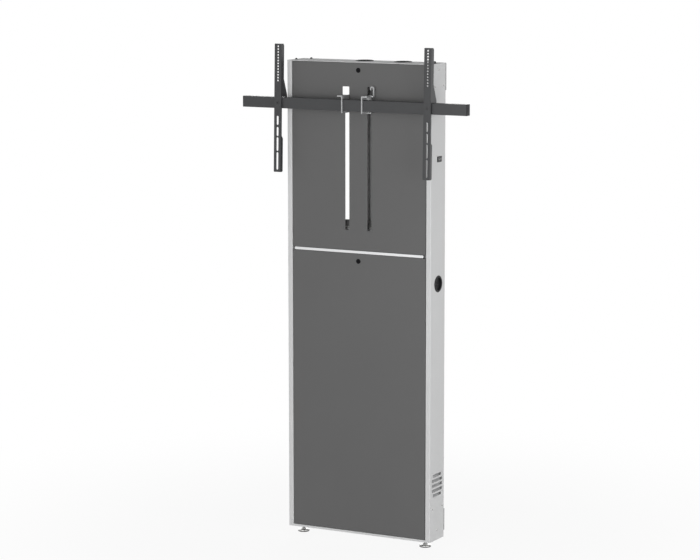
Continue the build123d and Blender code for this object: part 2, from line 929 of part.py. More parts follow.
def drive_motor():
    """Round motor under the gearbox, with a groove above its end cap."""
    bottom = motor_top - motor_length
    body = round_z(motor_radius, bottom, motor_top, 0, spindle_place)
    body = chamfer(body.edges().sort_by(Axis.Z)[0], motor_radius / 9)
    seam = bottom + motor_cap_height
    groove = round_z(motor_radius, seam, seam + 2, 0, spindle_place)
    groove -= round_z(motor_radius - 1.5, seam, seam + 2, 0, spindle_place)
    return body - groove


def carriage_plate():
    """Carriage: front plate, neck through the mouth of the mast, and the seat of the nut."""
    half = carriage_width / 2
    plate = block(-half, half, carriage_front, carriage_back, hook_bottom, hook_top)
    plate = fillet(plate.edges().filter_by(Axis.Y), carriage_corner)
    neck_end = spindle_place + nut_radius + nut_wall
    neck = block(-neck_width / 2, neck_width / 2, carriage_back, neck_end, neck_bottom, neck_top)
    body = plate + neck
    body -= round_z(nut_radius, neck_bottom, neck_top, 0, spindle_place)
    for x, height in hook_bolt_places():
        body -= round_y(hook_bolt_radius, carriage_front, carriage_back, x, height)
    return body


def spindle_nut():
    """Nut of the spindle, with its flange under the neck of the carriage."""
    nut_bottom = neck_bottom - nut_flange
    nut = round_z(nut_radius, nut_bottom, neck_top, 0, spindle_place)
    nut += round_z(nut_flange_radius, nut_bottom, neck_bottom, 0, spindle_place)
    return nut - round_z(spindle_radius + turning_fit, nut_bottom, neck_top, 0, spindle_place)


def guide_pads():
    """Four plastic shoes on the neck, which grip the lips of the mast."""
    inner_edge = neck_width / 2
    lip_front = mast_front
    lip_back = mast_front + mast_wall
    group = []
    for bottom in (neck_bottom, neck_top - pad_height):
        shoe = block(
            inner_edge,
            inner_edge + pad_width,
            carriage_back,
            lip_back + pad_thickness,
            bottom,
            bottom + pad_height,
        )
        shoe -= block(
            mast_mouth / 2 - pad_clearance,
            inner_edge + pad_width,
            lip_front - pad_clearance,
            lip_back + pad_clearance,
            bottom,
            bottom + pad_height,
        )
        group += both_sides(shoe).solids()
    return Compound(children=group)


def hook_bolt_places():
    """Places of the hook plate bolts, as X and height."""
    across = hook_inner - hook_tab / 2
    heights = (hook_bottom + hook_bolt_inset, hook_top - hook_bolt_inset)
    return [(side * across, height) for side in (-1, 1) for height in heights]


def hook_plate():
    """Right hook plate: web round the bar, wings at the top and foot, and a tab on the carriage."""
    middle = hook_spacing / 2
    wing_end = front - panel_clearance
    web = block(hook_inner, hook_outer, hook_front, carriage_front, hook_bottom, hook_top)
    web = fillet(web.edges().filter_by(Axis.X).sort_by(Axis.Y)[:2], hook_corner)
    web -= block(
        hook_inner,
        hook_outer,
        bar_front - bar_fit,
        bar_back + bar_fit,
        bar_bottom - bar_fit,
        bar_top + bar_fit,
    )
    wing = block(middle, wing_side, hook_front, wing_end, hook_top - hook_sheet, hook_top)
    wing = fillet(wing.edges().filter_by(Axis.Z).sort_by(Axis.X)[-2:], hook_corner)
    foot = block(middle, wing_side, bar_back + 1, wing_end, hook_bottom, hook_bottom + hook_sheet)
    foot = fillet(foot.edges().filter_by(Axis.Z).sort_by(Axis.X)[-2:], hook_corner)
    tab = block(
        hook_inner - hook_tab, middle, carriage_front - hook_sheet, carriage_front, hook_bottom, neck_top
    )
    for x, height in hook_bolt_places():
        tab -= round_y(hook_bolt_radius, carriage_front - hook_sheet, carriage_front, x, height)
    return web + wing + foot + tab


def hook_ear_part():
    """Upright ear beside the right wing, on a shelf of the wing, with its head rolled inwards."""
    wing_end = front - panel_clearance
    outer = wing_side + hook_ear_set_out
    roll_height = hook_top + hook_ear_height - hook_ear_roll
    rise = roll_height - hook_top + hook_sheet
    across = hook_ear_roll - hook_sheet / 2
    section = Circle(hook_ear_roll) - Circle(hook_ear_roll - hook_sheet)
    section -= Pos(0, -hook_ear_roll) * Rectangle(2 * hook_ear_roll, 2 * hook_ear_roll)
    section += Pos(across, -rise / 2) * Rectangle(hook_sheet, rise)
    section += Pos(-across, -hook_ear_tip / 2) * Rectangle(hook_sheet, hook_ear_tip)
    ear = extrude(Plane.XZ * section, hook_ear)
    ear = Pos(outer - hook_ear_roll, wing_end, level(roll_height)) * ear
    shelf = block(
        wing_side - 2 * hook_corner, outer, wing_end - hook_shelf, wing_end, hook_top - hook_sheet, hook_top
    )
    corner = shelf.edges().filter_by(Axis.Z).group_by(Axis.X)[-1].sort_by(Axis.Y)[0]
    return ear + fillet(corner, hook_corner)


def hook_plate_bolts():
    """Bolts of the hook plates, with their heads in front of the tabs."""
    group = []
    seat_y = carriage_front - hook_sheet
    for x, height in hook_bolt_places():
        head = Pos(x, seat_y - hook_bolt_head, level(height)) * Rot(-90, 0, 0) * hex_prism(
            hook_bolt_flats, hook_bolt_head
        )
        group.append(head + round_y(hook_bolt_radius, seat_y, carriage_back, x, height))
    return Compound(children=[solid for bolt in group for solid in bolt.solids()])


def crossbar():
    """Rectangular tube with rounded edges."""
    section = RectangleRounded(bar_depth, bar_height, bar_corner)
    section -= Rectangle(bar_depth - 2 * bar_wall, bar_height - 2 * bar_wall)
    section = Pos((bar_front + bar_back) / 2, level(bar_middle)) * section
    return extrude(Plane.YZ * section, bar_length / 2 - bar_cap, both=True)


def bar_end_cap():
    """End cap of the bar with its plug inside the tube."""
    y = (bar_front + bar_back) / 2
    end = bar_length / 2
    rim = Plane.YZ * (Pos(y, level(bar_middle)) * RectangleRounded(bar_depth, bar_height, bar_corner))
    cap = Pos(end - bar_cap, 0, 0) * extrude(rim, bar_cap)
    depth = bar_depth / 2 - bar_wall
    height = bar_height / 2 - bar_wall
    near = end - bar_cap - bar_plug
    far = end - bar_cap
    plug = block(near, far, y - depth, y + depth, bar_middle - height, bar_middle + height)
    depth -= bar_wall
    height -= bar_wall
    core = block(near, far, y - depth, y + depth, bar_middle - height, bar_middle + height)
    return cap + (plug - core)


def leaned(shape):
    """A piece of an arm, leaned back at its top about the middle line of the bar."""
    pivot = Pos(0, (bar_front + bar_back) / 2, level(bar_middle))
    return pivot * Rot(-arm_lean, 0, 0) * pivot.inverse() * shape


def screen_arm(x):
    """Arm at the hole column x: flange with holes and slots, and a web that hooks over the bar."""
    left = x - arm_flange / 2
    right = x + arm_flange / 2
    flange = block(left, right, arm_front, arm_back, arm_bottom, arm_top)
    flange = fillet(flange.edges().filter_by(Axis.Y), 3)
    first_hole = arm_top - arm_hole_inset
    for index in range(arm_hole_count):
        flange -= round_y(arm_hole_radius, arm_front, arm_back, x, first_hole - index * arm_hole_pitch)
    for start, length in arm_slots:
        slot = extrude(Plane.XZ * (Rot(0, 0, 90) * SlotOverall(length, arm_slot_width)), -arm_sheet)
        flange -= Pos(x, arm_front, level(arm_top - start - length / 2)) * slot
    flange -= round_y(arm_screw_radius + hole_clearance, arm_front, arm_back, x, bar_middle)
    flange -= countersink(x, hole_clearance)
    flare_bottom = bar_top + arm_flare_rise
    flare_top = flare_bottom + arm_flare_height
    relief_bottom = bar_bottom - arm_relief
    web_back = arm_front + arm_web
    hook_back = arm_front + arm_hook_web
    foot_back = arm_front + arm_foot_web
    notch_front = bar_front - arm_play
    notch_back = bar_back + arm_play
    outline = [
        (arm_front, arm_bottom + 3),
        (arm_front, arm_top - 3),
        (arm_front + 3, arm_top),
        (web_back - arm_chamfer, arm_top),
        (web_back, arm_top - arm_chamfer),
        (web_back, flare_top),
        (hook_back, flare_bottom),
        (hook_back, bar_top - arm_hook_lip + 4),
        (hook_back - 4, bar_top - arm_hook_lip),
        (notch_back, bar_top - arm_hook_lip),
        (notch_back, bar_top + arm_play),
        (notch_front, bar_top + arm_play),
        (notch_front, relief_bottom),
        (foot_back, relief_bottom - (foot_back - notch_front)),
        (foot_back, arm_bottom + 4),
        (foot_back - 4, arm_bottom),
        (arm_front + 3, arm_bottom),
    ]
    face = make_face(Polyline(*[(y, level(height)) for y, height in outline], close=True))
    web = Pos(right - arm_sheet, 0, 0) * extrude(Plane.YZ * face, arm_sheet)
    return leaned(flange + web)


def countersink(x, extra):
    """Cone of a countersunk screw head in the front of an arm."""
    height = arm_sheet
    cone = Cone(arm_screw_radius + extra, arm_screw_head_radius + extra, height)
    return Pos(x, (arm_front + arm_back) / 2, level(bar_middle)) * Rot(90, 0, 0) * cone


def arm_screw(x):
    """Clamp screw through the arm, with its tip at the bar."""
    shank = round_y(arm_screw_radius, arm_back, bar_front - bar_fit, x, bar_middle)
    socket = round_y(1.8, arm_front, arm_front + 1.6, x, bar_middle)
    return leaned(countersink(x, 0) + shank - socket)


def foot_pad():
    """Round pad of the right foot, with a socket for the stem."""
    x = foot_spacing / 2
    y = inside(foot_depth)
    pad = round_z(foot_radius, 0, foot_pad_height, x, y)
    pad = chamfer(pad.edges().sort_by(Axis.Z)[0], foot_pad_height / 6)
    pad = chamfer(pad.edges().sort_by(Axis.Z)[-1], foot_pad_height / 4)
    socket_bottom = foot_pad_height - foot_peg_length
    return pad - round_z(foot_peg_radius + turning_fit, socket_bottom, foot_pad_height, x, y)


def foot_stem():
    """Threaded stem of the right foot, with its hexagon above the pad."""
    x = foot_spacing / 2
    y = inside(foot_depth)
    base = foot_pad_height + seat
    peg = round_z(foot_peg_radius, base - foot_peg_length, base, x, y)
    hexagon = Pos(x, y, level(base)) * hex_prism(foot_hex, foot_hex_height)
    return peg + hexagon + round_z(foot_stem_radius, base + foot_hex_height, foot_stem_top, x, y)


def foot_nut():
    """Lock nut of the right foot, under the bottom plate."""
    x = foot_spacing / 2
    y = inside(foot_depth)
    nut = Pos(x, y, level(foot_height - foot_nut_height)) * hex_prism(foot_hex, foot_nut_height)
    return nut - round_z(foot_stem_radius + turning_fit, foot_height - foot_nut_height, foot_height, x, y)


def foot_insert():
    """Threaded insert of the right foot, on the bottom plate."""
    x = foot_spacing / 2
    y = inside(foot_depth)
    bottom = foot_height + bottom_sheet
    top = bottom + foot_insert_height
    insert = round_z(foot_insert_radius, bottom, top, x, y)
    return insert - round_z(foot_stem_radius + turning_fit, bottom, top, x, y)


def stop_block(bottom, top):
    """Block of the right stop between two heights, with rounded upright edges."""
    left = buffer_place - buffer_width / 2
    body = block(
        left, left + buffer_width, cross_front + buffer_margin, cross_back - buffer_margin, bottom, top
    )
    return fillet(body.edges().filter_by(Axis.Z), buffer_corner)


def stop_screw_shank(bottom):
    """Shank of the right stop screw, from a height up into the rubber."""
    return round_z(
        buffer_screw_radius, bottom, buffer_bottom + buffer_screw_depth, buffer_place, cross_middle
    )


def stop_buffer():
    """Rubber buffer under the right hook plate."""
    body = stop_block(buffer_bottom, buffer_top)
    body = chamfer(body.faces().sort_by(Axis.Z)[-1].edges(), buffer_chamfer)
    return body - stop_screw_shank(buffer_bottom)


def buffer_seat_block():
    """Metal seat of the right buffer, on the cross member."""
    return stop_block(cross_top, buffer_bottom) - stop_screw_shank(cross_top)


def buffer_screw():
    """Screw that holds the right buffer from below."""
    head_top = cross_top - cross_sheet
    head = Pos(buffer_place, cross_middle, level(head_top - buffer_screw_head)) * hex_prism(
        buffer_screw_flats, buffer_screw_head
    )
    return head + stop_screw_shank(head_top)


def control_box():
    """Control box between the lips of the lower mast bracket."""
    body = block(box_side, box_side + box_width, mast_back - box_depth, mast_back, box_bottom, box_top)
    body = fillet(body.edges().filter_by(Axis.Y), box_corner)
    body = fillet(body.faces().sort_by(Axis.Y)[0].edges(), box_corner / 2)
    return body


def mains_inlet():
    """Mains inlet under the control box, with the socket for a lead."""
    x = box_side + box_width / 2
    y = mast_back - box_depth + inlet_set_back + inlet_depth / 2
    bottom = box_bottom - inlet_height
    floor = box_bottom - inlet_wall
    half = inlet_width / 2
    body = block(x - half, x + half, y - inlet_depth / 2, y + inlet_depth / 2, bottom, box_bottom)
    body = fillet(body.edges().filter_by(Axis.Z), inlet_wall)
    half_well = inlet_socket_width / 2
    half_depth = inlet_socket_depth / 2
    body -= block(x - half_well, x + half_well, y - half_depth, y + half_depth, bottom, floor)
    half_pin = inlet_pin_width / 2
    for place in (-inlet_pin_pitch, 0, inlet_pin_pitch):
        left = x + place - half_pin
        body += block(
            left,
            left + inlet_pin_width,
            y - inlet_pin_depth / 2,
            y + inlet_pin_depth / 2,
            bottom + inlet_wall,
            floor,
        )
    return body


def limit_switches():
    """Two limit switches inside the mast, at the ends of the travel."""
    group = []
    right = mast_width / 2 - mast_wall
    left = right - limit_width
    far = mast_back - limit_set_in
    bottom = hook_bottom - travel_down - 1.5 * limit_height
    for height in (bottom, hook_top + service_rise + stop_clearance):
        body = block(left, right, far - limit_depth, far, height, height + limit_height)
        group += body.solids()
    return Compound(children=group)


right_wall = side_wall()
screws = side_screws()
pad = foot_pad()
stem = foot_stem()
wing_plate = hook_plate()
half_span = arm_spacing / 2

nodes = {
    "left_side_wall": mirror(right_wall, about=Plane.YZ),
    "right_side_wall": right_wall - right_wall_openings(),
    "side_screws": both_sides(screws),
    "top_cover": top_cover(),
    "cover_screws": cover_screws(),
    "bottom_plate": bottom_plate(),
    "top_wall_rail": top_wall_rail(),
    "bottom_wall_rail": rail(
        lower_rail_bottom, lower_rail_bottom + lower_rail_height, lower_rail_bottom + lower_arm_height
    ),
    "mid_cross_member": mid_cross_member(),
    "trim_strip": trim_strip(),
    "upper_front_panel": upper_front_panel(),
    "lower_front_panel": lower_front_panel(),
    "upper_lock_housing": lock_housing(upper_lock_height),
    "upper_lock_plug": lock_plug(upper_lock_height),
    "upper_lock_cam": lock_cam(upper_lock_height),
    "lower_lock_housing": lock_housing(lower_lock_height),
    "lower_lock_plug": lock_plug(lower_lock_height),
    "lower_lock_cam": lock_cam(lower_lock_height),
    "side_grommet": side_grommet(),
    "top_grommets": top_grommets(),
    "switch_housing": switch_housing(),
    "switch_rocker": switch_rocker(),
    "mast_profile": mast_profile(),
    "lower_mast_bracket": lower_mast_bracket(),
    "upper_mast_bracket": upper_mast_bracket(),
    "mast_bolts": mast_bolts(),
    "spindle": spindle(),
    "shaft_coupling": shaft_coupling(),
    "lower_bearing_block": bearing_block(lower_bearing_bottom, lower_bearing_top, journal_radius),
    "upper_bearing_block": bearing_block(upper_bearing_bottom, upper_bearing_top, journal_radius),
    "gearbox": gearbox(),
    "gear_shaft": gear_shaft(),
    "drive_motor": drive_motor(),
    "control_box": control_box(),
    "mains_inlet": mains_inlet(),
    "limit_switches": limit_switches(),
    "stop_buffers": both_sides(stop_buffer()),
    "buffer_seats": both_sides(buffer_seat_block()),
    "buffer_screws": both_sides(buffer_screw()),
    "carriage_plate": carriage_plate(),
    "spindle_nut": spindle_nut(),
    "guide_pads": guide_pads(),
    "left_hook_plate": mirror(wing_plate, about=Plane.YZ),
    "right_hook_plate": wing_plate + hook_ear_part(),
    "hook_plate_bolts": hook_plate_bolts(),
    "crossbar": crossbar(),
    "bar_end_caps": both_sides(bar_end_cap()),
    "left_arm": screen_arm(-half_span),
    "right_arm": screen_arm(half_span),
    "left_arm_screw": arm_screw(-half_span),
    "right_arm_screw": arm_screw(half_span),
    "left_foot_pad": mirror(pad, about=Plane.YZ),
    "right_foot_pad": pad,
    "left_foot_stem": mirror(stem, about=Plane.YZ),
    "right_foot_stem": stem,
    "foot_nuts": both_sides(foot_nut()),
    "foot_inserts": both_sides(foot_insert()),
}

for name, shape in nodes.items():
    export_step(shape, f"parts/{name}.step")

print("origin above the floor", origin_height)
print("bar middle above the floor", bar_middle, "arms", arm_bottom, arm_top, "case top", case_top)
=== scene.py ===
"""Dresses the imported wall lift: its finishes, its fine hardware, the studio and the camera."""

import json
import logging
import math
from collections.abc import Callable, Sequence
from dataclasses import dataclass
from enum import Enum
from typing import Any

import bpy
from mathutils import Matrix, Vector


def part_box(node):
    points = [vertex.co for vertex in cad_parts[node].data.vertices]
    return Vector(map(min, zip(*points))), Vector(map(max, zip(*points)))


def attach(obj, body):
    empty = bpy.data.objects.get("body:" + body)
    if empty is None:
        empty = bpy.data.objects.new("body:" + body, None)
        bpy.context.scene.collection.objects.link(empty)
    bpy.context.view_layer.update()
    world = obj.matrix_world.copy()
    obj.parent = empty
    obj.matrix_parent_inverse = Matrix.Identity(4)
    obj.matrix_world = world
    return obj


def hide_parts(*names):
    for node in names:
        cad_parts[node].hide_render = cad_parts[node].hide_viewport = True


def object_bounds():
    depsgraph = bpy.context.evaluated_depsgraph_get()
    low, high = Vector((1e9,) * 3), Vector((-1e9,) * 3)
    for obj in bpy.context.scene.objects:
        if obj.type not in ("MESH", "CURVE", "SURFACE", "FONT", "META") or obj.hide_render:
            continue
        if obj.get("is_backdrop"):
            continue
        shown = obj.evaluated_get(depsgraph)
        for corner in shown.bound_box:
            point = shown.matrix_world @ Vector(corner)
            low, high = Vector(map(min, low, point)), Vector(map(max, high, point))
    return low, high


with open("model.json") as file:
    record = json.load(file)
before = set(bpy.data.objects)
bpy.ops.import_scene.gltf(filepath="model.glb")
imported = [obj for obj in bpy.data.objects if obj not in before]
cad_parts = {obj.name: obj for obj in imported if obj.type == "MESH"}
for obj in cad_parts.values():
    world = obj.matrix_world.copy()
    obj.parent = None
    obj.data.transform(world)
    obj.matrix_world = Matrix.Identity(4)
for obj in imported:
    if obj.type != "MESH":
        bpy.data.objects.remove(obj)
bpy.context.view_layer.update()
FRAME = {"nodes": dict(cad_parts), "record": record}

MM = 0.001
TINY = 0.001 * MM  # points nearer than this are one point
OVERLAP = 0.1 * MM  # how far joined pieces reach into each other
SPARE = 1 * MM  # how far a cutting tool reaches past what it cuts
FACING = 0.99  # a normal with more than this share along an axis looks along it
CORNER_STEPS, EDGE_STEPS, FINE_STEPS = 4, 3, 2  # how many faces round off a corner, an edge and a fine edge
LOG = logging.getLogger("lift")

Pair = tuple[float, float]
Triple = tuple[float, float, float]
Pick = Callable[[Vector, Vector], bool]


class Axis(Enum):
    """Directions that hardware can point along."""

    LEFT = Vector((-1, 0, 0))
    RIGHT = Vector((1, 0, 0))
    FRONT = Vector((0, -1, 0))
    BACK = Vector((0, 1, 0))
    DOWN = Vector((0, 0, -1))
    UP = Vector((0, 0, 1))

    def matrix(self, place: Vector) -> Matrix:
        """Gives the move from the origin to a place, with the turn of Z to this axis."""
        return Matrix.Translation(place) @ self.value.to_track_quat("Z", "Y").to_matrix().to_4x4()


# Shader values and node trees


class Value:
    """A shader socket that takes part in Python expressions."""

    def __init__(self, graph: "Graph", socket: bpy.types.NodeSocket) -> None:
        """Keeps the socket and the graph that it belongs to."""
        self.graph = graph
        self.socket = socket

    def __add__(self, other: "Value | float") -> "Value":
        """Adds."""
        return self.graph.math("ADD", self, other)

    __radd__ = __add__

    def __sub__(self, other: "Value | float") -> "Value":
        """Subtracts."""
        return self.graph.math("SUBTRACT", self, other)

    def __rsub__(self, other: float) -> "Value":
        """Subtracts this value from a number."""
        return self.graph.math("SUBTRACT", other, self)

    def __mul__(self, other: "Value | float") -> "Value":
        """Multiplies."""
        return self.graph.math("MULTIPLY", self, other)

    __rmul__ = __mul__

    def step(self, low: float, high: float) -> "Value":
        """Rises smoothly from 0 at low to 1 at high."""
        inputs = {"Value": self, "From Min": low, "From Max": high}
        return self.graph.node("ShaderNodeMapRange", {"interpolation_type": "SMOOTHSTEP"}, inputs)

    def swing(self, spread: float, middle: float = 0.5) -> "Value":
        """Turns a pattern into a swing about 0, which is where the pattern has its middle."""
        return (self - middle) * spread


class Graph:
    """The node tree of one material or of the world."""

    def __init__(self, owner: bpy.types.Material | bpy.types.World, shader: str = "Principled BSDF") -> None:
        """Gives a material or the world its nodes.

        Args:
            owner: the material or the world.
            shader: the name of the shader that it starts with.
        """
        owner.use_nodes = True
        self.owner = owner
        self.tree = owner.node_tree
        self.shader = self.tree.nodes[shader]

    def node(
        self, kind: str, settings: dict[str, Any], inputs: dict[str | int, Any], output: int | str = 0
    ) -> Value:
        """Adds a node.

        Args:
            kind: the node's type.
            settings: its options, set before its sockets.
            inputs: numbers, colours or values for its sockets, by name or number.
            output: which output is wanted, by name or number.

        Returns:
            The wanted output.
        """
        node = self.tree.nodes.new(kind)
        for name, setting in settings.items():
            setattr(node, name, setting)
        for name, value in inputs.items():
            self.connect(node.inputs[name], value)
        return Value(self, node.outputs[output])

    def connect(self, socket: bpy.types.NodeSocket, value: Any) -> None:
        """Links a value to a socket, or sets the socket to a constant.

        Args:
            socket: the socket.
            value: a value, a number or a colour.
        """
        if isinstance(value, Value):
            self.tree.links.new(value.socket, socket)
        elif isinstance(value, tuple) and socket.type == "RGBA":
            socket.default_value = (*value, 1.0)
        else:
            socket.default_value = value

    def math(self, operation: str, first: "Value | float", second: "Value | float") -> Value:
        """Adds a Math node for one operation on two values."""
        return self.node("ShaderNodeMath", {"operation": operation}, {0: first, 1: second})

    def place(self, scale: Triple = (1, 1, 1)) -> Value:
        """Gives the object coordinates in metres, stretched by scale."""
        where = self.node("ShaderNodeTexCoord", {}, {}, "Object")
        return self.node("ShaderNodeMapping", {}, {"Vector": where, "Scale": scale})

    def noise(self, size: float, detail: float = 2.0, stretch: Triple = (1, 1, 1)) -> Value:
        """Gives a cloudy pattern from 0 to 1.

        Args:
            size: the width of one patch, in metres.
            detail: how many finer layers lie on it.
            stretch: how much faster it changes along each axis.

        Returns:
            The pattern's value.
        """
        inputs = {"Vector": self.place(stretch), "Scale": 1 / size, "Detail": detail}
        return self.node("ShaderNodeTexNoise", {}, inputs)

    def cells(self, size: float, feature: str = "F1", output: str = "Distance") -> Value:
        """Gives an output of a scatter of cells that lie about size metres apart."""
        inputs = {"Vector": self.place(), "Scale": 1 / size}
        return self.node("ShaderNodeTexVoronoi", {"feature": feature}, inputs, output)

    def blend(self, factor: Value, first: Triple | Value, second: Triple | Value) -> Value:
        """Mixes two colours by a factor, with the node's sockets 6, 7 and 2, which are for colours."""
        settings = {"data_type": "RGBA", "clamp_factor": True}
        return self.node("ShaderNodeMix", settings, {0: factor, 6: first, 7: second}, 2)

    def vary(self, pattern: Value, color: Triple, tones: Pair) -> Value:
        """Varies a colour between a darker and a lighter tone of it."""
        return self.blend(pattern, shade(color, tones[0]), shade(color, tones[1]))

    def seen(self) -> Value:
        """Tells the rays that look at the backdrop from those that light the object.

        Returns:
            1 for the rays of the camera, of gloss and of glass, and 0 for all others.
        """
        kinds = ("Is Camera Ray", "Is Glossy Ray", "Is Transmission Ray")
        camera, gloss, glass = (self.node("ShaderNodeLightPath", {}, {}, kind) for kind in kinds)
        return camera + gloss + glass

    def finish(
        self,
        color: Triple | Value,
        roughness: float | Value,
        height: Value | None = None,
        depth: float = 0.0,
        **more: Any,
    ) -> None:
        """Feeds the shader.

        Args:
            color: the base colour.
            roughness: the roughness.
            height: the relief, from 0 to 1.
            depth: how high the relief is, in metres.
            more: other inputs of the shader, with underscores for spaces.
        """
        self.connect(self.shader.inputs["Base Color"], color)
        self.connect(self.shader.inputs["Roughness"], roughness)
        for name, value in more.items():
            self.connect(self.shader.inputs[name.replace("_", " ")], value)
        if height is not None:
            relief = self.node("ShaderNodeBump", {}, {"Height": height, "Distance": depth, "Strength": 1.0})
            self.connect(self.shader.inputs["Normal"], relief)


def shade(color: Triple, factor: float) -> Triple:
    """Makes a colour darker or lighter by a factor."""
    return tuple(min(1.0, part * factor) for part in color)


# Finishes


@dataclass(frozen=True)
class Mark:
    """Patches of wear or dirt that lie over a finish."""

    size: float
    edge: Pair
    share: float
    tone: float
    roughens: float
    detail: float = 4.0
    stretch: Triple = (1.0, 1.0, 1.0)

    def lay(self, graph: Graph, under: Value, color: Triple) -> tuple[Value, Value]:
        """Lays the patches on a finish.

        Args:
            graph: the nodes of the material.
            under: the colour that they lie on.
            color: the finish's own colour, which their tone is taken from.

        Returns:
            The colour with the patches on it, and what they add to the roughness.
        """
        mask = graph.noise(self.size, self.detail, self.stretch).step(*self.edge)
        return graph.blend(mask * self.share, under, shade(color, self.tone)), mask * self.roughens


@dataclass(frozen=True)
class PowderCoat:
    """Baked powder paint with a fine grain, faint clouds and traces of handling."""

    name: str
    color: Triple
    roughness: float = 0.52
    tones: Pair = (0.95, 1.05)
    flake: float = 0.0
    gloss: float = 0.4
    grain: float = 1.1 * MM
    grain_swing: float = 0.08
    depth: float = 0.03 * MM
    cloud_size: float = 260 * MM
    cloud_detail: float = 3.0
    flake_size: float = 0.7 * MM
    flake_edge: Pair = (0.05, 0.42)
    flake_tone: float = 0.72
    wipes: Mark = Mark(90 * MM, (0.45, 0.75), 0.06, 1.25, 0.05, stretch=(0.35, 0.35, 1.0))

    def material(self) -> bpy.types.Material:
        """Builds the paint.

        Returns:
            The material.
        """
        graph = Graph(bpy.data.materials.new(self.name))
        peel = graph.noise(self.grain)
        specks = graph.cells(self.flake_size).step(*self.flake_edge)
        color = graph.vary(graph.noise(self.cloud_size, self.cloud_detail), self.color, self.tones)
        color = graph.blend(specks * self.flake, color, shade(self.color, self.flake_tone))
        color, wiped = self.wipes.lay(graph, color, self.color)
        roughness = self.roughness + peel.swing(self.grain_swing) + wiped
        graph.finish(color, roughness, peel, self.depth, Specular_IOR_Level=self.gloss)
        return graph.owner


@dataclass(frozen=True)
class Enamel:
    """Smooth satin enamel on steel, with small rubbed patches."""

    name: str
    color: Triple
    roughness: float = 0.38
    tones: Pair = (0.88, 1.12)
    cloud_size: float = 70 * MM
    cloud_detail: float = 4.0
    cloud_swing: float = 0.1
    wave_size: float = 3.2 * MM
    wave_detail: float = 1.0
    depth: float = 0.03 * MM
    rubs: Mark = Mark(14 * MM, (0.62, 0.78), 0.25, 1.8, 0.12, detail=6.0, stretch=(1.0, 1.0, 0.2))

    def material(self) -> bpy.types.Material:
        """Builds the enamel.

        Returns:
            The material.
        """
        graph = Graph(bpy.data.materials.new(self.name))
        clouds = graph.noise(self.cloud_size, self.cloud_detail)
        wave = graph.noise(self.wave_size, self.wave_detail)
        color, rubbed = self.rubs.lay(graph, graph.vary(clouds, self.color, self.tones), self.color)
        graph.finish(color, self.roughness + clouds.swing(self.cloud_swing) + rubbed, wave, self.depth)
        return graph.owner


@dataclass(frozen=True)
class ZincPlate:
    """Zinc on sheet or fasteners: a grey metal with crystals and rolling streaks."""

    name: str
    color: Triple
    roughness: float = 0.45
    crystal: float = 9 * MM
    streaks: Triple = (1.0, 1.0, 0.08)
    metallic: float = 0.6
    tones: Pair = (0.86, 1.1)
    crystal_swing: float = 0.12
    streak_width: float = 1.6 * MM
    streak_detail: float = 3.0
    streak_share: float = 0.3
    streak_tone: float = 0.8
    streak_swing: float = 0.1
    depth: float = 0.02 * MM
    stain: Mark = Mark(45 * MM, (0.5, 0.8), 0.35, 0.82, 0.1, detail=5.0)

    def material(self) -> bpy.types.Material:
        """Builds the plating.

        Returns:
            The material.
        """
        graph = Graph(bpy.data.materials.new(self.name))
        crystals = graph.node("ShaderNodeSeparateColor", {}, {0: graph.cells(self.crystal, output="Color")})
        streaks = graph.noise(self.streak_width, self.streak_detail, self.streaks)
        color = graph.vary(crystals, self.color, self.tones)
        color = graph.blend(streaks * self.streak_share, color, shade(self.color, self.streak_tone))
        color, stained = self.stain.lay(graph, color, self.color)
        roughness = self.roughness + crystals.swing(self.crystal_swing) + streaks.swing(self.streak_swing)
        graph.finish(color, roughness + stained, streaks, self.depth, Metallic=self.metallic)
        return graph.owner


@dataclass(frozen=True)
class BrushedMetal:
    """Bare metal with fine marks along one direction and a thin film of dirt."""

    name: str
    color: Triple
    roughness: float = 0.34
    stretch: Triple = (0.02, 1.0, 1.0)
    width: float = 0.4 * MM
    metallic: float = 1.0
    gloss: float = 0.5
    tones: Pair = (0.9, 1.06)
    line_detail: float = 3.0
    line_swing: float = 0.16
    depth: float = 0.012 * MM
    film_size: float = 60 * MM
    film_detail: float = 3.0
    film_edge: Pair = (0.55, 0.8)
    film_share: float = 0.3
    film_tone: float = 0.85
    film_swing: float = 0.08

    def material(self) -> bpy.types.Material:
        """Builds the metal.

        Returns:
            The material.
        """
        graph = Graph(bpy.data.materials.new(self.name))
        lines = graph.noise(self.width, self.line_detail, self.stretch)
        film = graph.noise(self.film_size, self.film_detail)
        color = graph.vary(lines, self.color, self.tones)
        dirt = film.step(*self.film_edge) * self.film_share
        color = graph.blend(dirt, color, shade(self.color, self.film_tone))
        roughness = self.roughness + lines.swing(self.line_swing) + film.swing(self.film_swing)
        shine = {"Metallic": self.metallic, "Specular_IOR_Level": self.gloss}
        graph.finish(color, roughness, lines, self.depth, **shine)
        return graph.owner


@dataclass(frozen=True)
class CastMetal:
    """A cast surface with a sandy relief and shallow pits under paint, greasy in places."""

    name: str
    color: Triple
    roughness: float = 0.55
    grain: float = 1.4 * MM
    depth: float = 0.12 * MM
    tones: Pair = (0.85, 1.15)
    grain_detail: float = 4.0
    grain_swing: float = 0.15
    pit_spacing: float = 4.0
    pit_edge: Pair = (0.0, 0.22)
    pit_share: float = 0.3
    grease: Mark = Mark(30 * MM, (0.55, 0.8), 0.5, 0.6, -0.2)

    def material(self) -> bpy.types.Material:
        """Builds the casting.

        Returns:
            The material.
        """
        graph = Graph(bpy.data.materials.new(self.name))
        sand = graph.noise(self.grain, self.grain_detail)
        pits = graph.cells(self.grain * self.pit_spacing).step(*self.pit_edge)
        color, greased = self.grease.lay(graph, graph.vary(sand, self.color, self.tones), self.color)
        relief = sand * (1 - self.pit_share) + pits * self.pit_share
        graph.finish(color, self.roughness + sand.swing(self.grain_swing) + greased, relief, self.depth)
        return graph.owner


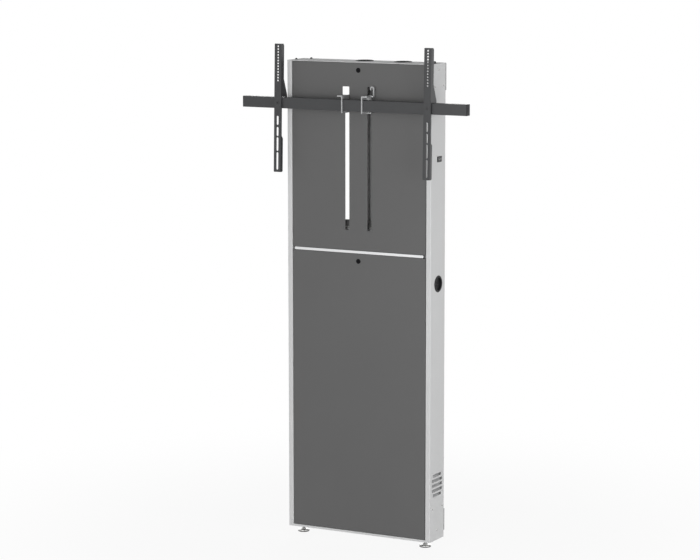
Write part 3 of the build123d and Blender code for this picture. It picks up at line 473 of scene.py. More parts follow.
@dataclass(frozen=True)
class MouldedPlastic:
    """Moulded plastic or rubber with a spark-eroded grain and dust in it."""

    name: str
    color: Triple
    roughness: float = 0.5
    grain: float = 0.8 * MM
    depth: float = 0.03 * MM
    dust: float = 0.1
    gloss: float = 0.3
    tones: Pair = (0.85, 1.2)
    grain_swing: float = 0.12
    grain_middle: float = 0.4
    cloud_size: float = 25 * MM
    cloud_detail: float = 4.0
    dust_edge: Pair = (0.5, 0.85)
    dust_color: Triple = (0.32, 0.31, 0.29)
    dust_roughens: float = 0.12

    def material(self) -> bpy.types.Material:
        """Builds the plastic.

        Returns:
            The material.
        """
        graph = Graph(bpy.data.materials.new(self.name))
        grain = graph.cells(self.grain, "SMOOTH_F1")
        clouds = graph.noise(self.cloud_size, self.cloud_detail)
        dusty = clouds.step(*self.dust_edge)
        color = graph.blend(dusty * self.dust, graph.vary(clouds, self.color, self.tones), self.dust_color)
        roughness = self.roughness + grain.swing(self.grain_swing, self.grain_middle)
        roughness += dusty * self.dust_roughens
        graph.finish(color, roughness, grain, self.depth, Specular_IOR_Level=self.gloss)
        return graph.owner


class Finish(Enum):
    """The finishes of the lift, by the material slots of its record."""

    graphite_sheet = PowderCoat("graphite_sheet", (0.1, 0.1, 0.1))
    silver_sheet = PowderCoat("silver_sheet", (0.635, 0.638, 0.64), 0.6, (0.97, 1.03), flake=0.16, gloss=0.06)
    bright_trim = BrushedMetal("bright_trim", (0.69, 0.695, 0.7))
    dark_steel = Enamel("dark_steel", (0.03, 0.031, 0.033))
    black_fastener = Enamel("black_fastener", (0.018, 0.018, 0.02), 0.34)
    galvanised_sheet = ZincPlate("galvanised_sheet", (0.4, 0.404, 0.408))
    zinc_fastener = ZincPlate("zinc_fastener", (0.52, 0.52, 0.51), 0.24, 2.5 * MM, (1.0, 1.0, 1.0), 0.7)
    turned_steel = BrushedMetal(
        "turned_steel", (0.6, 0.6, 0.6), stretch=(0.3, 0.3, 6.0), width=0.8 * MM, metallic=0.6
    )
    black_plastic = MouldedPlastic("black_plastic", (0.012, 0.012, 0.013), 0.45, dust=0.05, gloss=0.2)
    grey_plastic = MouldedPlastic("grey_plastic", (0.09, 0.09, 0.093))
    white_plastic = MouldedPlastic("white_plastic", (0.72, 0.71, 0.67), 0.4, dust=0.25)
    black_rubber = MouldedPlastic("black_rubber", (0.08, 0.08, 0.08), 0.72, 1.2 * MM, 0.06 * MM, gloss=0.2)
    mast_metal = BrushedMetal("mast_metal", (0.5, 0.502, 0.506), 0.45, (1.0, 1.0, 0.015), 0.9 * MM, 0.3)
    cast_housing = CastMetal("cast_housing", (0.2, 0.2, 0.205))
    motor_metal = CastMetal("motor_metal", (0.04, 0.04, 0.042), 0.45, 0.9 * MM, 0.05 * MM)
    bronze = BrushedMetal("bronze", (0.62, 0.42, 0.2), stretch=(0.3, 0.3, 5.0), width=0.9 * MM)
    lock_metal = BrushedMetal(
        "lock_metal", (0.008, 0.008, 0.009), stretch=(1.0, 1.0, 1.0), width=0.5 * MM, metallic=0.0, gloss=0.06
    )


class Paintbox:
    """Hands out each finish's material, which is built once."""

    def __init__(self) -> None:
        """Starts with no material built."""
        self.made: dict[Finish, bpy.types.Material] = {}

    def material(self, finish: Finish) -> bpy.types.Material:
        """Gives the material of a finish.

        Args:
            finish: the finish.

        Returns:
            Its material.
        """
        if finish not in self.made:
            self.made[finish] = finish.value.material()
        return self.made[finish]

    def dress(self, piece: bpy.types.Object, finish: Finish) -> None:
        """Puts one finish all over a piece."""
        piece.data.materials.clear()
        piece.data.materials.append(self.material(finish))

    def dress_frame(self) -> None:
        """Puts the finish of its material slot on every node of the frame."""
        for entry in FRAME["record"]["subparts"]:
            finish = Finish[entry["material_slot"]]
            self.dress(FRAME["nodes"][entry["node"]], finish)
            LOG.info("%s is dressed in %s", entry["node"], finish.name)


PAINTS = Paintbox()


# Shared geometry


def solids(node: str) -> list[tuple[Vector, Vector]]:
    """Finds the separate solids of a node of the frame.

    Args:
        node: the node's name.

    Returns:
        The lowest and highest corner of each solid, sorted from left to right and from low to high.
    """
    mesh = FRAME["nodes"][node].data
    fineness, decimals = 1e5, 4
    group: dict[tuple[int, int, int], int] = {}
    parent: list[int] = []

    def root(index: int) -> int:
        """Follows a point to the first point of its group.

        Args:
            index: the point's number.

        Returns:
            The number of the first point.
        """
        while parent[index] != index:
            index = parent[index]
        return index

    def key(vertex: int) -> int:
        """Numbers the points by their places, to a hundredth of a millimetre.

        Args:
            vertex: a vertex of the mesh.

        Returns:
            The number of the point where it lies.
        """
        place = tuple(round(part * fineness) for part in mesh.vertices[vertex].co)
        if place not in group:
            group[place] = len(parent)
            parent.append(len(parent))
        return group[place]

    for polygon in mesh.polygons:
        first, *others = (root(key(vertex)) for vertex in polygon.vertices)
        for other in others:
            parent[root(other)] = root(first)
    corners: dict[int, list[Vector]] = {}
    for place, index in group.items():
        corners.setdefault(root(index), []).append(Vector(place) / fineness)
    found = []
    for points in corners.values():
        low, high = (Vector(end(point[axis] for point in points) for axis in range(3)) for end in (min, max))
        found.append((low, high))
    return sorted(found, key=lambda pair: (round(pair[0].x, decimals), round(pair[0].z, decimals)))


def upright(centre: Vector, height: float = 0.0) -> Matrix:
    """Gives the move from the origin to an upright axis, and up to a height on it."""
    return Matrix.Translation((centre.x, centre.y, height))


def quarter(steps: int) -> list[Pair]:
    """Gives the cosine and the sine at both ends and at even steps of a quarter turn."""
    angles = (math.pi / 2 * index / steps for index in range(steps + 1))
    return [(math.cos(angle), math.sin(angle)) for angle in angles]


# Modelling


class Bench:
    """One mesh on the bench, shaped with Blender's own tools about the origin."""

    def __init__(self, name: str) -> None:
        """Takes the object that has just been added.

        Args:
            name: the name that it gets.
        """
        self.piece = bpy.context.active_object
        self.piece.name = name
        self.piece.data.name = name

    @staticmethod
    def clear() -> None:
        """Leaves edit mode and deselects everything."""
        if bpy.context.mode != "OBJECT":
            bpy.ops.object.mode_set(mode="OBJECT")
        bpy.ops.object.select_all(action="DESELECT")

    @classmethod
    def prism(cls, name: str, radius: float, sides: int, bottom: float, top: float) -> "Bench":
        """Extrudes a disc that has a corner on the X axis.

        Args:
            name: the piece's name.
            radius: how far the corners stand from the Z axis.
            sides: the number of sides.
            bottom: the height of the lower end.
            top: the height of the upper end.

        Returns:
            The prism.
        """
        cls.clear()
        start, turn = (0, 0, bottom), (0, 0, math.pi / 2)
        bpy.ops.mesh.primitive_circle_add(
            vertices=sides, radius=radius, fill_type="NGON", location=start, rotation=turn
        )
        bench = cls(name).applied()
        bench.edit("FACE")
        return bench.extrude((0, 0, top - bottom)).turned_out()

    @classmethod
    def cube(cls, name: str, low: Sequence[float], high: Sequence[float]) -> "Bench":
        """Starts from a box.

        Args:
            name: the piece's name.
            low: the lowest corner.
            high: the highest corner.

        Returns:
            The box.
        """
        cls.clear()
        low, high = Vector(low), Vector(high)
        bpy.ops.mesh.primitive_cube_add(size=1, location=(low + high) / 2, scale=high - low)
        return cls(name).applied()

    @classmethod
    def turned(cls, name: str, profile: Sequence[Pair], steps: int = 32) -> "Bench":
        """Turns a closed outline about the Z axis.

        Args:
            name: the piece's name.
            profile: radius and height of each corner, in order round the outline.
            steps: how many steps the full turn takes.

        Returns:
            The turned piece.
        """
        bench = cls.outline(name, profile, closed=True)
        bench.edit()
        bpy.ops.mesh.spin(steps=steps, angle=math.tau, center=(0, 0, 0), axis=(0, 0, 1))
        bpy.ops.mesh.select_all(action="SELECT")
        bpy.ops.mesh.remove_doubles(threshold=TINY)
        bpy.ops.mesh.dissolve_degenerate(threshold=TINY / 10)
        return bench.turned_out()

    @classmethod
    def outline(cls, name: str, points: Sequence[Pair], closed: bool = False) -> "Bench":
        """Draws a line in the XZ plane by extruding one vertex from point to point.

        Args:
            name: the piece's name.
            points: X and Z of each point.
            closed: whether the line returns to its first point.

        Returns:
            The line.
        """
        cls.clear()
        bpy.ops.mesh.primitive_plane_add(size=MM)
        bench = cls(name)
        bench.edit()
        bpy.ops.mesh.merge(type="CENTER")
        here = Vector((points[0][0], 0, points[0][1]))
        bpy.ops.transform.translate(value=here)
        for x, z in [*points[1:], points[0]] if closed else points[1:]:
            there = Vector((x, 0, z))
            bench.extrude(there - here)
            here = there
        bpy.ops.mesh.select_all(action="SELECT")
        bpy.ops.mesh.remove_doubles(threshold=TINY)
        cls.clear()
        return bench

    def activate(self) -> None:
        """Makes this piece the only selected and the active one."""
        self.clear()
        self.piece.select_set(True)
        bpy.context.view_layer.objects.active = self.piece

    def edit(self, mode: str = "VERT") -> None:
        """Enters edit mode with everything selected.

        Args:
            mode: what is selected: VERT, EDGE or FACE.
        """
        self.activate()
        bpy.ops.object.mode_set(mode="EDIT")
        bpy.ops.mesh.select_mode(type=mode)
        bpy.ops.mesh.select_all(action="SELECT")

    def turned_out(self) -> "Bench":
        """Points every face outwards and leaves edit mode.

        Returns:
            This piece.
        """
        bpy.ops.mesh.select_all(action="SELECT")
        bpy.ops.mesh.normals_make_consistent(inside=False)
        self.clear()
        return self

    def deselected(self, mode: str) -> bpy.types.Mesh:
        """Deselects all of the mesh.

        Args:
            mode: what is to be selected next: VERT, EDGE or FACE.

        Returns:
            The mesh, in object mode.
        """
        self.edit(mode)
        bpy.ops.mesh.select_all(action="DESELECT")
        bpy.ops.object.mode_set(mode="OBJECT")
        return self.piece.data

    def pick_faces(self, wanted: Pick) -> None:
        """Enters edit mode with some of the faces selected.

        Args:
            wanted: tells by a face's centre and normal whether it is wanted.
        """
        for face in self.deselected("FACE").polygons:
            face.select = wanted(face.center, face.normal)
        bpy.ops.object.mode_set(mode="EDIT")

    def bevel(self, wanted: Pick, width: float, segments: int) -> "Bench":
        """Rounds some of the edges.

        Args:
            wanted: tells by the two ends of an edge whether it is wanted.
            width: the width of the rounding.
            segments: how many faces it has.

        Returns:
            This piece.
        """
        mesh = self.deselected("EDGE")
        for edge in mesh.edges:
            edge.select = wanted(*(mesh.vertices[index].co for index in edge.vertices))
        bpy.ops.object.mode_set(mode="EDIT")
        bpy.ops.mesh.bevel(offset=width, segments=segments, affect="EDGES")
        self.clear()
        return self

    def extrude(self, move: Sequence[float]) -> "Bench":
        """Extrudes what is selected by a move."""
        bpy.ops.mesh.extrude_region_move(TRANSFORM_OT_translate={"value": Vector(move)})
        return self

    def inset(self, width: float, depth: float = 0.0) -> None:
        """Insets what is selected and pushes it in by depth."""
        bpy.ops.mesh.inset(thickness=width, depth=-depth)

    def modify(self, kind: str, **settings: Any) -> None:
        """Adds a modifier and applies it.

        Args:
            kind: the modifier's type.
            settings: its options.
        """
        self.activate()
        modifier = self.piece.modifiers.new(kind.title(), kind)
        for name, setting in settings.items():
            setattr(modifier, name, setting)
        bpy.ops.object.modifier_apply(modifier=modifier.name)

    def boolean(self, operation: str, tool: "Bench") -> "Bench":
        """Combines this mesh with a tool, which is thrown away.

        Args:
            operation: how they are combined.
            tool: the other mesh.

        Returns:
            This piece.
        """
        self.modify("BOOLEAN", operation=operation, solver="EXACT", object=tool.piece)
        bpy.data.objects.remove(tool.piece)
        return self

    def cut(self, tool: "Bench") -> "Bench":
        """Cuts a tool out of this mesh."""
        return self.boolean("DIFFERENCE", tool)

    def meet(self, tool: "Bench") -> "Bench":
        """Keeps only what lies inside a tool."""
        return self.boolean("INTERSECT", tool)

    def join(self, *others: "Bench") -> "Bench":
        """Joins other meshes to this one.

        Args:
            others: the meshes that become part of it.

        Returns:
            This piece.
        """
        self.activate()
        for other in others:
            other.piece.select_set(True)
        bpy.ops.object.join()
        return self

    def applied(self) -> "Bench":
        """Moves the object's own place, turn and size into its mesh.

        Returns:
            This piece.
        """
        self.activate()
        bpy.ops.object.transform_apply(location=True, rotation=True, scale=True)
        return self

    def placed(self, matrix: Matrix) -> "Bench":
        """Moves the finished mesh to its place.

        Args:
            matrix: the move from the origin.

        Returns:
            This piece.
        """
        self.activate()
        self.piece.matrix_world = matrix
        return self.applied()

    def kept(self, finish: Finish, body: str, replaces: Sequence[str] = (), angle: float = 32.0) -> "Bench":
        """Smooths, dresses and mounts the finished piece.

        Args:
            finish: the finish that it wears.
            body: the body that it moves with.
            replaces: the nodes that it stands for.
            angle: faces that meet at less than this many degrees are shaded as one.

        Returns:
            This piece.
        """
        self.activate()
        bpy.ops.object.shade_smooth_by_angle(angle=math.radians(angle))
        PAINTS.dress(self.piece, finish)
        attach(self.piece, body)
        if replaces:
            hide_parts(*replaces)
        LOG.info("%s rides on %s in %s", self.piece.name, body, finish.name)
        return self

    def copies(
        self, places: dict[str, Matrix], finish: Finish, body: str, replaces: Sequence[str] = ()
    ) -> None:
        """Keeps a copy of this mesh at each place and throws the mesh away.

        Args:
            places: the place of each copy, by the copy's name.
            finish: the finish that they wear.
            body: the body that they move with.
            replaces: the nodes that the first copy stands for.
        """
        for index, (name, place) in enumerate(places.items()):
            self.activate()
            bpy.ops.object.duplicate(linked=False)
            Bench(name).placed(place).kept(finish, body, replaces if index == 0 else ())
        bpy.data.objects.remove(self.piece)


# Picks and directions


def along(axis: int) -> Pick:
    """Picks the edges that run along an axis: 0 is X, 1 is Y and 2 is Z."""
    return lambda first, second: abs(first[axis] - second[axis]) > TINY


def at_front(front: float) -> Pick:
    """Picks the edges round the front face, whose Y is given."""
    return lambda first, second: max(first.y, second.y) < front + TINY


def at_end(side: int, face: float) -> Pick:
    """Picks the edges round the face on a side, -1 or 1 along X, whose X is given."""
    return lambda first, second: min(side * first.x, side * second.x) > side * face - TINY


def facing(axis: Axis) -> Pick:
    """Picks the faces that look along an axis."""
    return lambda centre, normal: normal.dot(axis.value) > FACING


def outward(place: Vector) -> Axis:
    """Gives the side that a screw of the side walls faces."""
    return Axis.RIGHT if place.x > 0 else Axis.LEFT


def upward(place: Vector) -> Axis:
    """Gives the direction of the cover screws."""
    return Axis.UP


def seats(node: str, axes: Callable[[Vector], Axis], head: float) -> dict[str, Matrix]:
    """Finds where the heads of the screws or bolts of a node lie.

    Args:
        node: the node's name.
        axes: gives the direction of a screw by its middle.
        head: the height of the heads.

    Returns:
        The place of each head, by the name of its copy.
    """
    places = {}
    for index, (low, high) in enumerate(solids(node)):
        middle = (low + high) / 2
        axis = axes(middle)
        reach = abs((high - low).dot(axis.value)) / 2 - head
        places[f"{node}_{index + 1:02d}"] = axis.matrix(middle + axis.value * reach)
    return places


# Fasteners and threads


@dataclass(frozen=True)
class ButtonHead:
    """A button head with a hexagon socket."""

    radius: float
    height: float
    sunk: float = 0.05
    rim: float = 0.18
    socket: float = 0.5
    socket_depth: float = 0.55
    arc: int = 7
    sides: int = 30

    def model(self) -> Bench:
        """Models the head on the XY plane, rising along Z.

        Returns:
            The head.
        """
        radius, height, rim = self.radius, self.height, self.rim
        profile = [(0, -self.sunk * height), (radius, -self.sunk * height), (radius, rim * height)]
        for cosine, sine in quarter(self.arc)[1:-1]:
            profile.append((radius * cosine, height * (rim + (1 - rim) * sine)))
        profile.append((0, height))
        floor = height * (1 - self.socket_depth)
        socket = Bench.prism("socket_tool", radius * self.socket, 6, floor, floor + height)
        return Bench.turned("screw_head", profile, self.sides).cut(socket)


@dataclass
class ButtonScrews:
    """Button head screws, one on each solid of a node of the frame."""

    node: str
    body: str
    axes: Callable[[Vector], Axis]
    head: ButtonHead
    finish: Finish = Finish.zinc_fastener

    def build(self) -> None:
        """Models the head once and sets a copy on each screw."""
        places = seats(self.node, self.axes, self.head.height)
        self.head.model().copies(places, self.finish, self.body, [self.node])


def corner_screws(node: str, front: float, inset: float, head: ButtonHead) -> None:
    """Sets a screw near each corner of the front of a node of the case.

    Args:
        node: the node's name.
        front: the Y of the face that the heads lie on.
        inset: how far the screws stand from the node's sides.
        head: the head of each screw.
    """
    low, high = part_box(node)
    spots = [(x, z) for x in (low.x + inset, high.x - inset) for z in (low.z + inset, high.z - inset)]
    places = {}
    for index, (x, z) in enumerate(spots):
        places[f"{node}_screw_{index + 1}"] = Axis.FRONT.matrix(Vector((x, front, z)))
    head.model().copies(places, Finish.zinc_fastener, "case")


@dataclass(frozen=True)
class Hexagon:
    """A hexagon whose corners are turned off at its top, and where both is set, at its bottom too."""

    flats: float
    height: float
    both: bool = True
    face: float = 0.46
    slope: float = math.radians(30)
    steps: int = 36

    def model(self, name: str) -> Bench:
        """Models the hexagon on the XY plane, rising along Z.

        Args:
            name: the piece's name.

        Returns:
            The hexagon.
        """
        height, corner, face = self.height, self.flats / math.sqrt(3), self.flats * self.face
        rise = (corner - face) * math.tan(self.slope)
        lens = [(0, height), (face, height), (corner, height - rise)]
        lens += [(corner, rise), (face, 0)] if self.both else [(corner, 0)]
        lens.append((0, 0))
        return Bench.prism(name, corner, 6, 0, height).meet(Bench.turned("lens", lens, self.steps))


@dataclass
class HexBolts:
    """Hexagon bolts with turned corners and a dished face, one for each solid of a node."""

    node: str
    body: str
    axis: Axis
    flats: float
    head_height: float
    shank_radius: float
    rim: float = 0.1
    dish: float = 0.04
    dish_depth: float = 0.08
    point: float = 0.15
    sides: int = 20

    def bolt(self, length: float) -> Bench:
        """Models one bolt with its head on the XY plane and its shank below.

        Args:
            length: the length of the shank below the head.

        Returns:
            The bolt.
        """
        height, radius = self.head_height, self.shank_radius
        chamfer = radius * self.point
        bolt = Hexagon(self.flats, height, both=False).model("bolt")
        bolt.pick_faces(facing(Axis.UP))
        bolt.inset(self.flats * self.rim)
        bolt.inset(self.flats * self.dish, height * self.dish_depth)
        shank = [(0, -length), (radius - chamfer, -length), (radius, chamfer - length)]
        shank += [(radius, OVERLAP), (0, OVERLAP)]
        return bolt.join(Bench.turned("shank", shank, self.sides))

    def build(self) -> None:
        """Models the bolt once and sets a copy on each solid."""
        low, high = solids(self.node)[0]
        length = abs((high - low).dot(self.axis.value)) - self.head_height
        places = seats(self.node, lambda middle: self.axis, self.head_height)
        self.bolt(length).copies(places, Finish.zinc_fastener, self.body, [self.node])


@dataclass
class HexNuts:
    """Hexagon nuts with turned corners and a bore that widens at its ends, one for each solid of a node."""

    node: str
    body: str
    flats: float
    bore: float
    mouth: float = 1.14
    sides: int = 36

    def build(self) -> None:
        """Models the nut once and sets a copy on each solid."""
        found = solids(self.node)
        height = found[0][1].z - found[0][0].z
        bore, wide = self.bore, self.bore * self.mouth
        hole = [(0, -SPARE), (wide, -SPARE), (wide, 0), (bore, wide - bore)]
        hole += [(bore, height - wide + bore), (wide, height), (wide, height + SPARE), (0, height + SPARE)]
        nut = Hexagon(self.flats, height).model("nut").cut(Bench.turned("hole", hole, self.sides))
        places = {}
        for index, (low, high) in enumerate(found):
            places[f"{self.node}_{index + 1:02d}"] = upright((low + high) / 2, low.z)
        nut.copies(places, Finish.zinc_fastener, self.body, [self.node])


@dataclass(frozen=True)
class Thread:
    """A real helical thread, by its pitch, its depth and the share of the pitch that its crest takes."""

    pitch: float
    depth: float
    crest: float
    steps: int
    chamfer: float = 0.04
    chamfer_rise: float = 0.05
    smooth_angle: float = 40.0

    def rod(self, name: str, centre: Vector, bottom: float, top: float, radius: float) -> Bench:
        """Sweeps one pitch of the thread up an upright rod and closes its ends.

        Args:
            name: the piece's name.
            centre: a point on the rod's axis.
            bottom: the height of the rod's lower end.
            top: the height of its upper end.
            radius: the radius of the crest.

        Returns:
            The rod.
        """
        turns = int((top - bottom) / self.pitch)
        start = (bottom + top - turns * self.pitch) / 2
        root, flat = radius - self.depth, self.crest * self.pitch
        flank = (1 - 2 * self.crest) / 2 * self.pitch
        tooth = [(root, 0), (root, flat), (radius, flat + flank), (radius, 2 * flat + flank)]
        tooth.append((root, self.pitch))
        thread = Bench.outline(name, tooth)
        thread.modify(
            "SCREW",
            axis="Z",
            steps=self.steps,
            render_steps=self.steps,
            screw_offset=self.pitch,
            iterations=turns - 1,
            use_merge_vertices=True,
            merge_threshold=TINY,
        )
        thread.edit()
        bpy.ops.mesh.remove_doubles(threshold=TINY)
        thread.turned_out().placed(upright(centre, start))
        inner, rise = root * (1 - self.chamfer), root * self.chamfer_rise
        ends = []
        for low, high in ((bottom, start + self.pitch), (top - self.pitch, top)):
            profile = [(0, low), (inner, low), (root, low + rise), (root, high), (0, high)]
            ends.append(Bench.turned("end", profile, self.steps).placed(upright(centre)))
        return thread.join(*ends)


@dataclass
class Spindle:
    """The lifting spindle: a trapezoidal thread between two plain journals."""

    thread: Thread = Thread(pitch=4 * MM, depth=2 * MM, crest=0.32, steps=20)
    run_out: float = 1 * MM
    journal: float = 6 * MM
    chamfer: float = 0.6 * MM

    def build(self) -> None:
        """Cuts the thread and turns the journals."""
        low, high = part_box("spindle")
        centre, radius = (low + high) / 2, (high.x - low.x) / 2
        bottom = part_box("lower_bearing_block")[1].z + self.run_out
        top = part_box("upper_bearing_block")[0].z - self.run_out
        rod = self.thread.rod("spindle_thread", centre, bottom, top, radius)
        rod.kept(Finish.turned_steel, "spindle_drive", ["spindle"], self.thread.smooth_angle)
        inner = self.journal - self.chamfer
        journals = []
        for start, end in ((low.z, bottom + self.run_out), (top - self.run_out, high.z)):
            profile = [(0, start), (inner, start), (self.journal, start + self.chamfer)]
            profile += [(self.journal, end), (0, end)]
            journals.append(Bench.turned("journal", profile).placed(upright(centre)))
        rod.join(*journals)


# Pieces of the lift


@dataclass
class Feet:
    """Levelling feet: a pressed disc on a rubber sole, a threaded stem and its nuts."""

    sole: float = 3.4 * MM
    sole_edge: float = 0.2 * MM
    groove: float = 0.5 * MM
    groove_shares: tuple[float, float, float, float] = (0.8, 0.82, 0.88, 0.9)
    bulge: float = 0.6 * MM
    lip: float = 0.8 * MM
    lip_rise: float = 0.4
    lip_round: float = 0.3
    socket: float = 4.4 * MM
    socket_depth: float = 3.5 * MM
    stem_radius: float = 5 * MM
    stem_gap: float = 0.3 * MM
    thread: Thread = Thread(pitch=1.5 * MM, depth=0.9 * MM, crest=0.12, steps=24)
    hexagon: Hexagon = Hexagon(17 * MM, 5 * MM)
    peg_radius: float = 4 * MM
    peg_length: float = 4 * MM
    peg_chamfer: float = 0.6 * MM
    nut_bore: float = 5.1 * MM
    sides: int = 48

    def pad(self, side: str) -> None:
        """Models the disc and the sole of one foot.

        Args:
            side: left or right.
        """
        node = f"{side}_foot_pad"
        low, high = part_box(node)
        radius, top = (high.x - low.x) / 2, high.z - low.z
        place = upright((low + high) / 2, low.z)
        step, lip, socket, floor = self.sole, self.lip, self.socket, top - self.socket_depth
        rise, round_off = lip * self.lip_rise, lip * self.lip_round
        disc = [
            (0, step), (radius - lip, step), (radius, step + rise), (radius, top - lip),
            (radius - round_off, top - round_off), (radius - lip, top), (socket, top), (socket, floor),
            (0, floor),
        ]
        cup = Bench.turned(f"{side}_foot_disc", disc, self.sides).placed(place)
        cup.kept(Finish.zinc_fastener, node, [node])
        bulge, depths = self.bulge, (0, self.groove, self.groove, 0)
        sole = [(0, 0), *((radius * share, depth) for share, depth in zip(self.groove_shares, depths))]
        sole += [(radius - bulge, 0), (radius, bulge), (radius, step - self.sole_edge)]
        sole += [(radius - bulge, step), (0, step)]
        Bench.turned(f"{side}_foot_sole", sole, self.sides).placed(place).kept(Finish.black_rubber, node)

    def stem(self, side: str) -> None:
        """Models the stem of one foot with its thread, its hexagon and the peg in the pad.

        Args:
            side: left or right.
        """
        node = f"{side}_foot_stem"
        low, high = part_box(node)
        middle = (low + high) / 2
        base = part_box(f"{side}_foot_pad")[1].z + self.stem_gap
        bottom = base + self.hexagon.height - OVERLAP
        rod = self.thread.rod(f"{side}_foot_thread", middle, bottom, high.z, self.stem_radius)
        rod.kept(Finish.zinc_fastener, node, [node], self.thread.smooth_angle)
        radius, length, chamfer = self.peg_radius, self.peg_length, self.peg_chamfer
        peg = [(0, OVERLAP), (radius, OVERLAP), (radius, chamfer - length), (radius - chamfer, -length)]
        peg.append((0, -length))
        body = self.hexagon.model(f"{side}_foot_hexagon")
        body.join(Bench.turned("peg", peg, self.thread.steps)).placed(upright(middle, base))
        body.kept(Finish.zinc_fastener, node)

    def build(self) -> None:
        """Builds both feet and their lock nuts."""
        for side in ("left", "right"):
            self.pad(side)
            self.stem(side)
        HexNuts("foot_nuts", "case", self.hexagon.flats, self.nut_bore).build()


@dataclass
class Grommets:
    """Cable grommets: a rolled rim, a thin neck and a slit rubber skin for the cables."""

    sides: int = 56
    arc: int = 5
    neck_step: float = 3 * MM
    bore_step: float = 6.5 * MM
    outer_roll: Pair = (0.3, 0.55)
    inner_roll: Pair = (0.25, 0.7)
    rim_chamfer: float = 0.4 * MM
    sleeve: float = 1 * MM
    sleeve_chamfer: float = 1.5 * MM
    skin: float = 1.4 * MM
    skin_depth: float = 5 * MM
    skin_grip: float = 0.4 * MM
    hinge: float = 0.92
    dish: float = 3.5 * MM
    slit: float = 0.7 * MM
    slits: int = 4
    slit_share: float = 0.86

    def ring(self, name: str, rim: float, thickness: float, length: float) -> Bench:
        """Models one ring that stands on the XY plane, with its sleeve below.

        Args:
            name: the piece's name.
            rim: the rim's outer radius.
            thickness: the rim's height.
            length: the sleeve's length below the rim.

        Returns:
            The ring.
        """
        neck, bore, chamfer = rim - self.neck_step, rim - self.bore_step, self.rim_chamfer
        (outer, outer_rise), (inner, inner_rise) = self.outer_roll, self.inner_roll
        outer, inner = (rim - bore) * outer, (rim - bore) * inner
        profile = [(neck, 0), (rim - chamfer, 0), (rim, chamfer)]
        for cosine, sine in quarter(self.arc):
            profile.append((rim - outer + outer * cosine, thickness * (1 - outer_rise + outer_rise * sine)))
        for cosine, sine in quarter(self.arc):
            profile.append((bore + inner - inner * sine, thickness * (1 - inner_rise + inner_rise * cosine)))
        profile += [(bore, -length), (neck - self.sleeve, -length), (neck, self.sleeve_chamfer - length)]
        return Bench.turned(name, profile, self.sides)

    def membrane(self, name: str, radius: float) -> Bench:
        """Models the dished rubber skin, slit like a star, below the XY plane.

        Args:
            name: the piece's name.
            radius: the skin's radius.

        Returns:
            The skin.
        """
        top, hinge = -self.skin_depth, radius * self.hinge
        profile = [(0, top - self.dish - self.skin), (hinge, top - self.skin), (radius, top - self.skin)]
        profile += [(radius, top), (hinge, top), (0, top - self.dish)]
        skin = Bench.turned(name, profile, self.sides)
        reach, half = radius * self.slit_share, self.slit / 2
        for index in range(self.slits):
            slit = Bench.cube("slit", (-reach, -half, top - 2 * self.dish), (reach, half, 0))
            skin.cut(slit.placed(Matrix.Rotation(math.pi * (index + 0.5) / self.slits, 4, "Z")))
        return skin

    def set_in(
        self, name: str, replaces: Sequence[str], rim: float, length: float, proud: float, place: Matrix
    ) -> None:
        """Sets one ring and its skin in a hole.

        Args:
            name: the name that the pieces start with.
            replaces: the node that the ring stands for, if it is the first of its node.
            rim: the rim's outer radius.
            length: the sleeve's length.
            proud: the rim's height.
            place: the place of the hole, with Z outwards.
        """
        ring = self.ring(f"{name}_ring", rim, proud, length).placed(place)
        ring.kept(Finish.black_plastic, "case", replaces)
        skin = self.membrane(f"{name}_membrane", rim - self.bore_step + self.skin_grip).placed(place)
        skin.kept(Finish.black_plastic, "case")

    def build(self) -> None:
        """Sets the grommets in the side wall and in the top cover."""
        low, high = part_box("side_grommet")
        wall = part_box("right_side_wall")[1].x
        middle, rim = (low + high) / 2, (high.z - low.z) / 2
        place = Axis.RIGHT.matrix(Vector((wall, middle.y, middle.z)))
        self.set_in("side_grommet", ["side_grommet"], rim, wall - low.x, high.x - wall, place)
        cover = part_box("top_cover")[1].z
        for index, (low, high) in enumerate(solids("top_grommets")):
            middle, rim = (low + high) / 2, (high.x - low.x) / 2
            place = Axis.UP.matrix(Vector((middle.x, middle.y, cover)))
            replaces = ["top_grommets"] if index == 0 else []
            self.set_in(f"top_grommet_{index + 1}", replaces, rim, cover - low.z, high.z - cover, place)


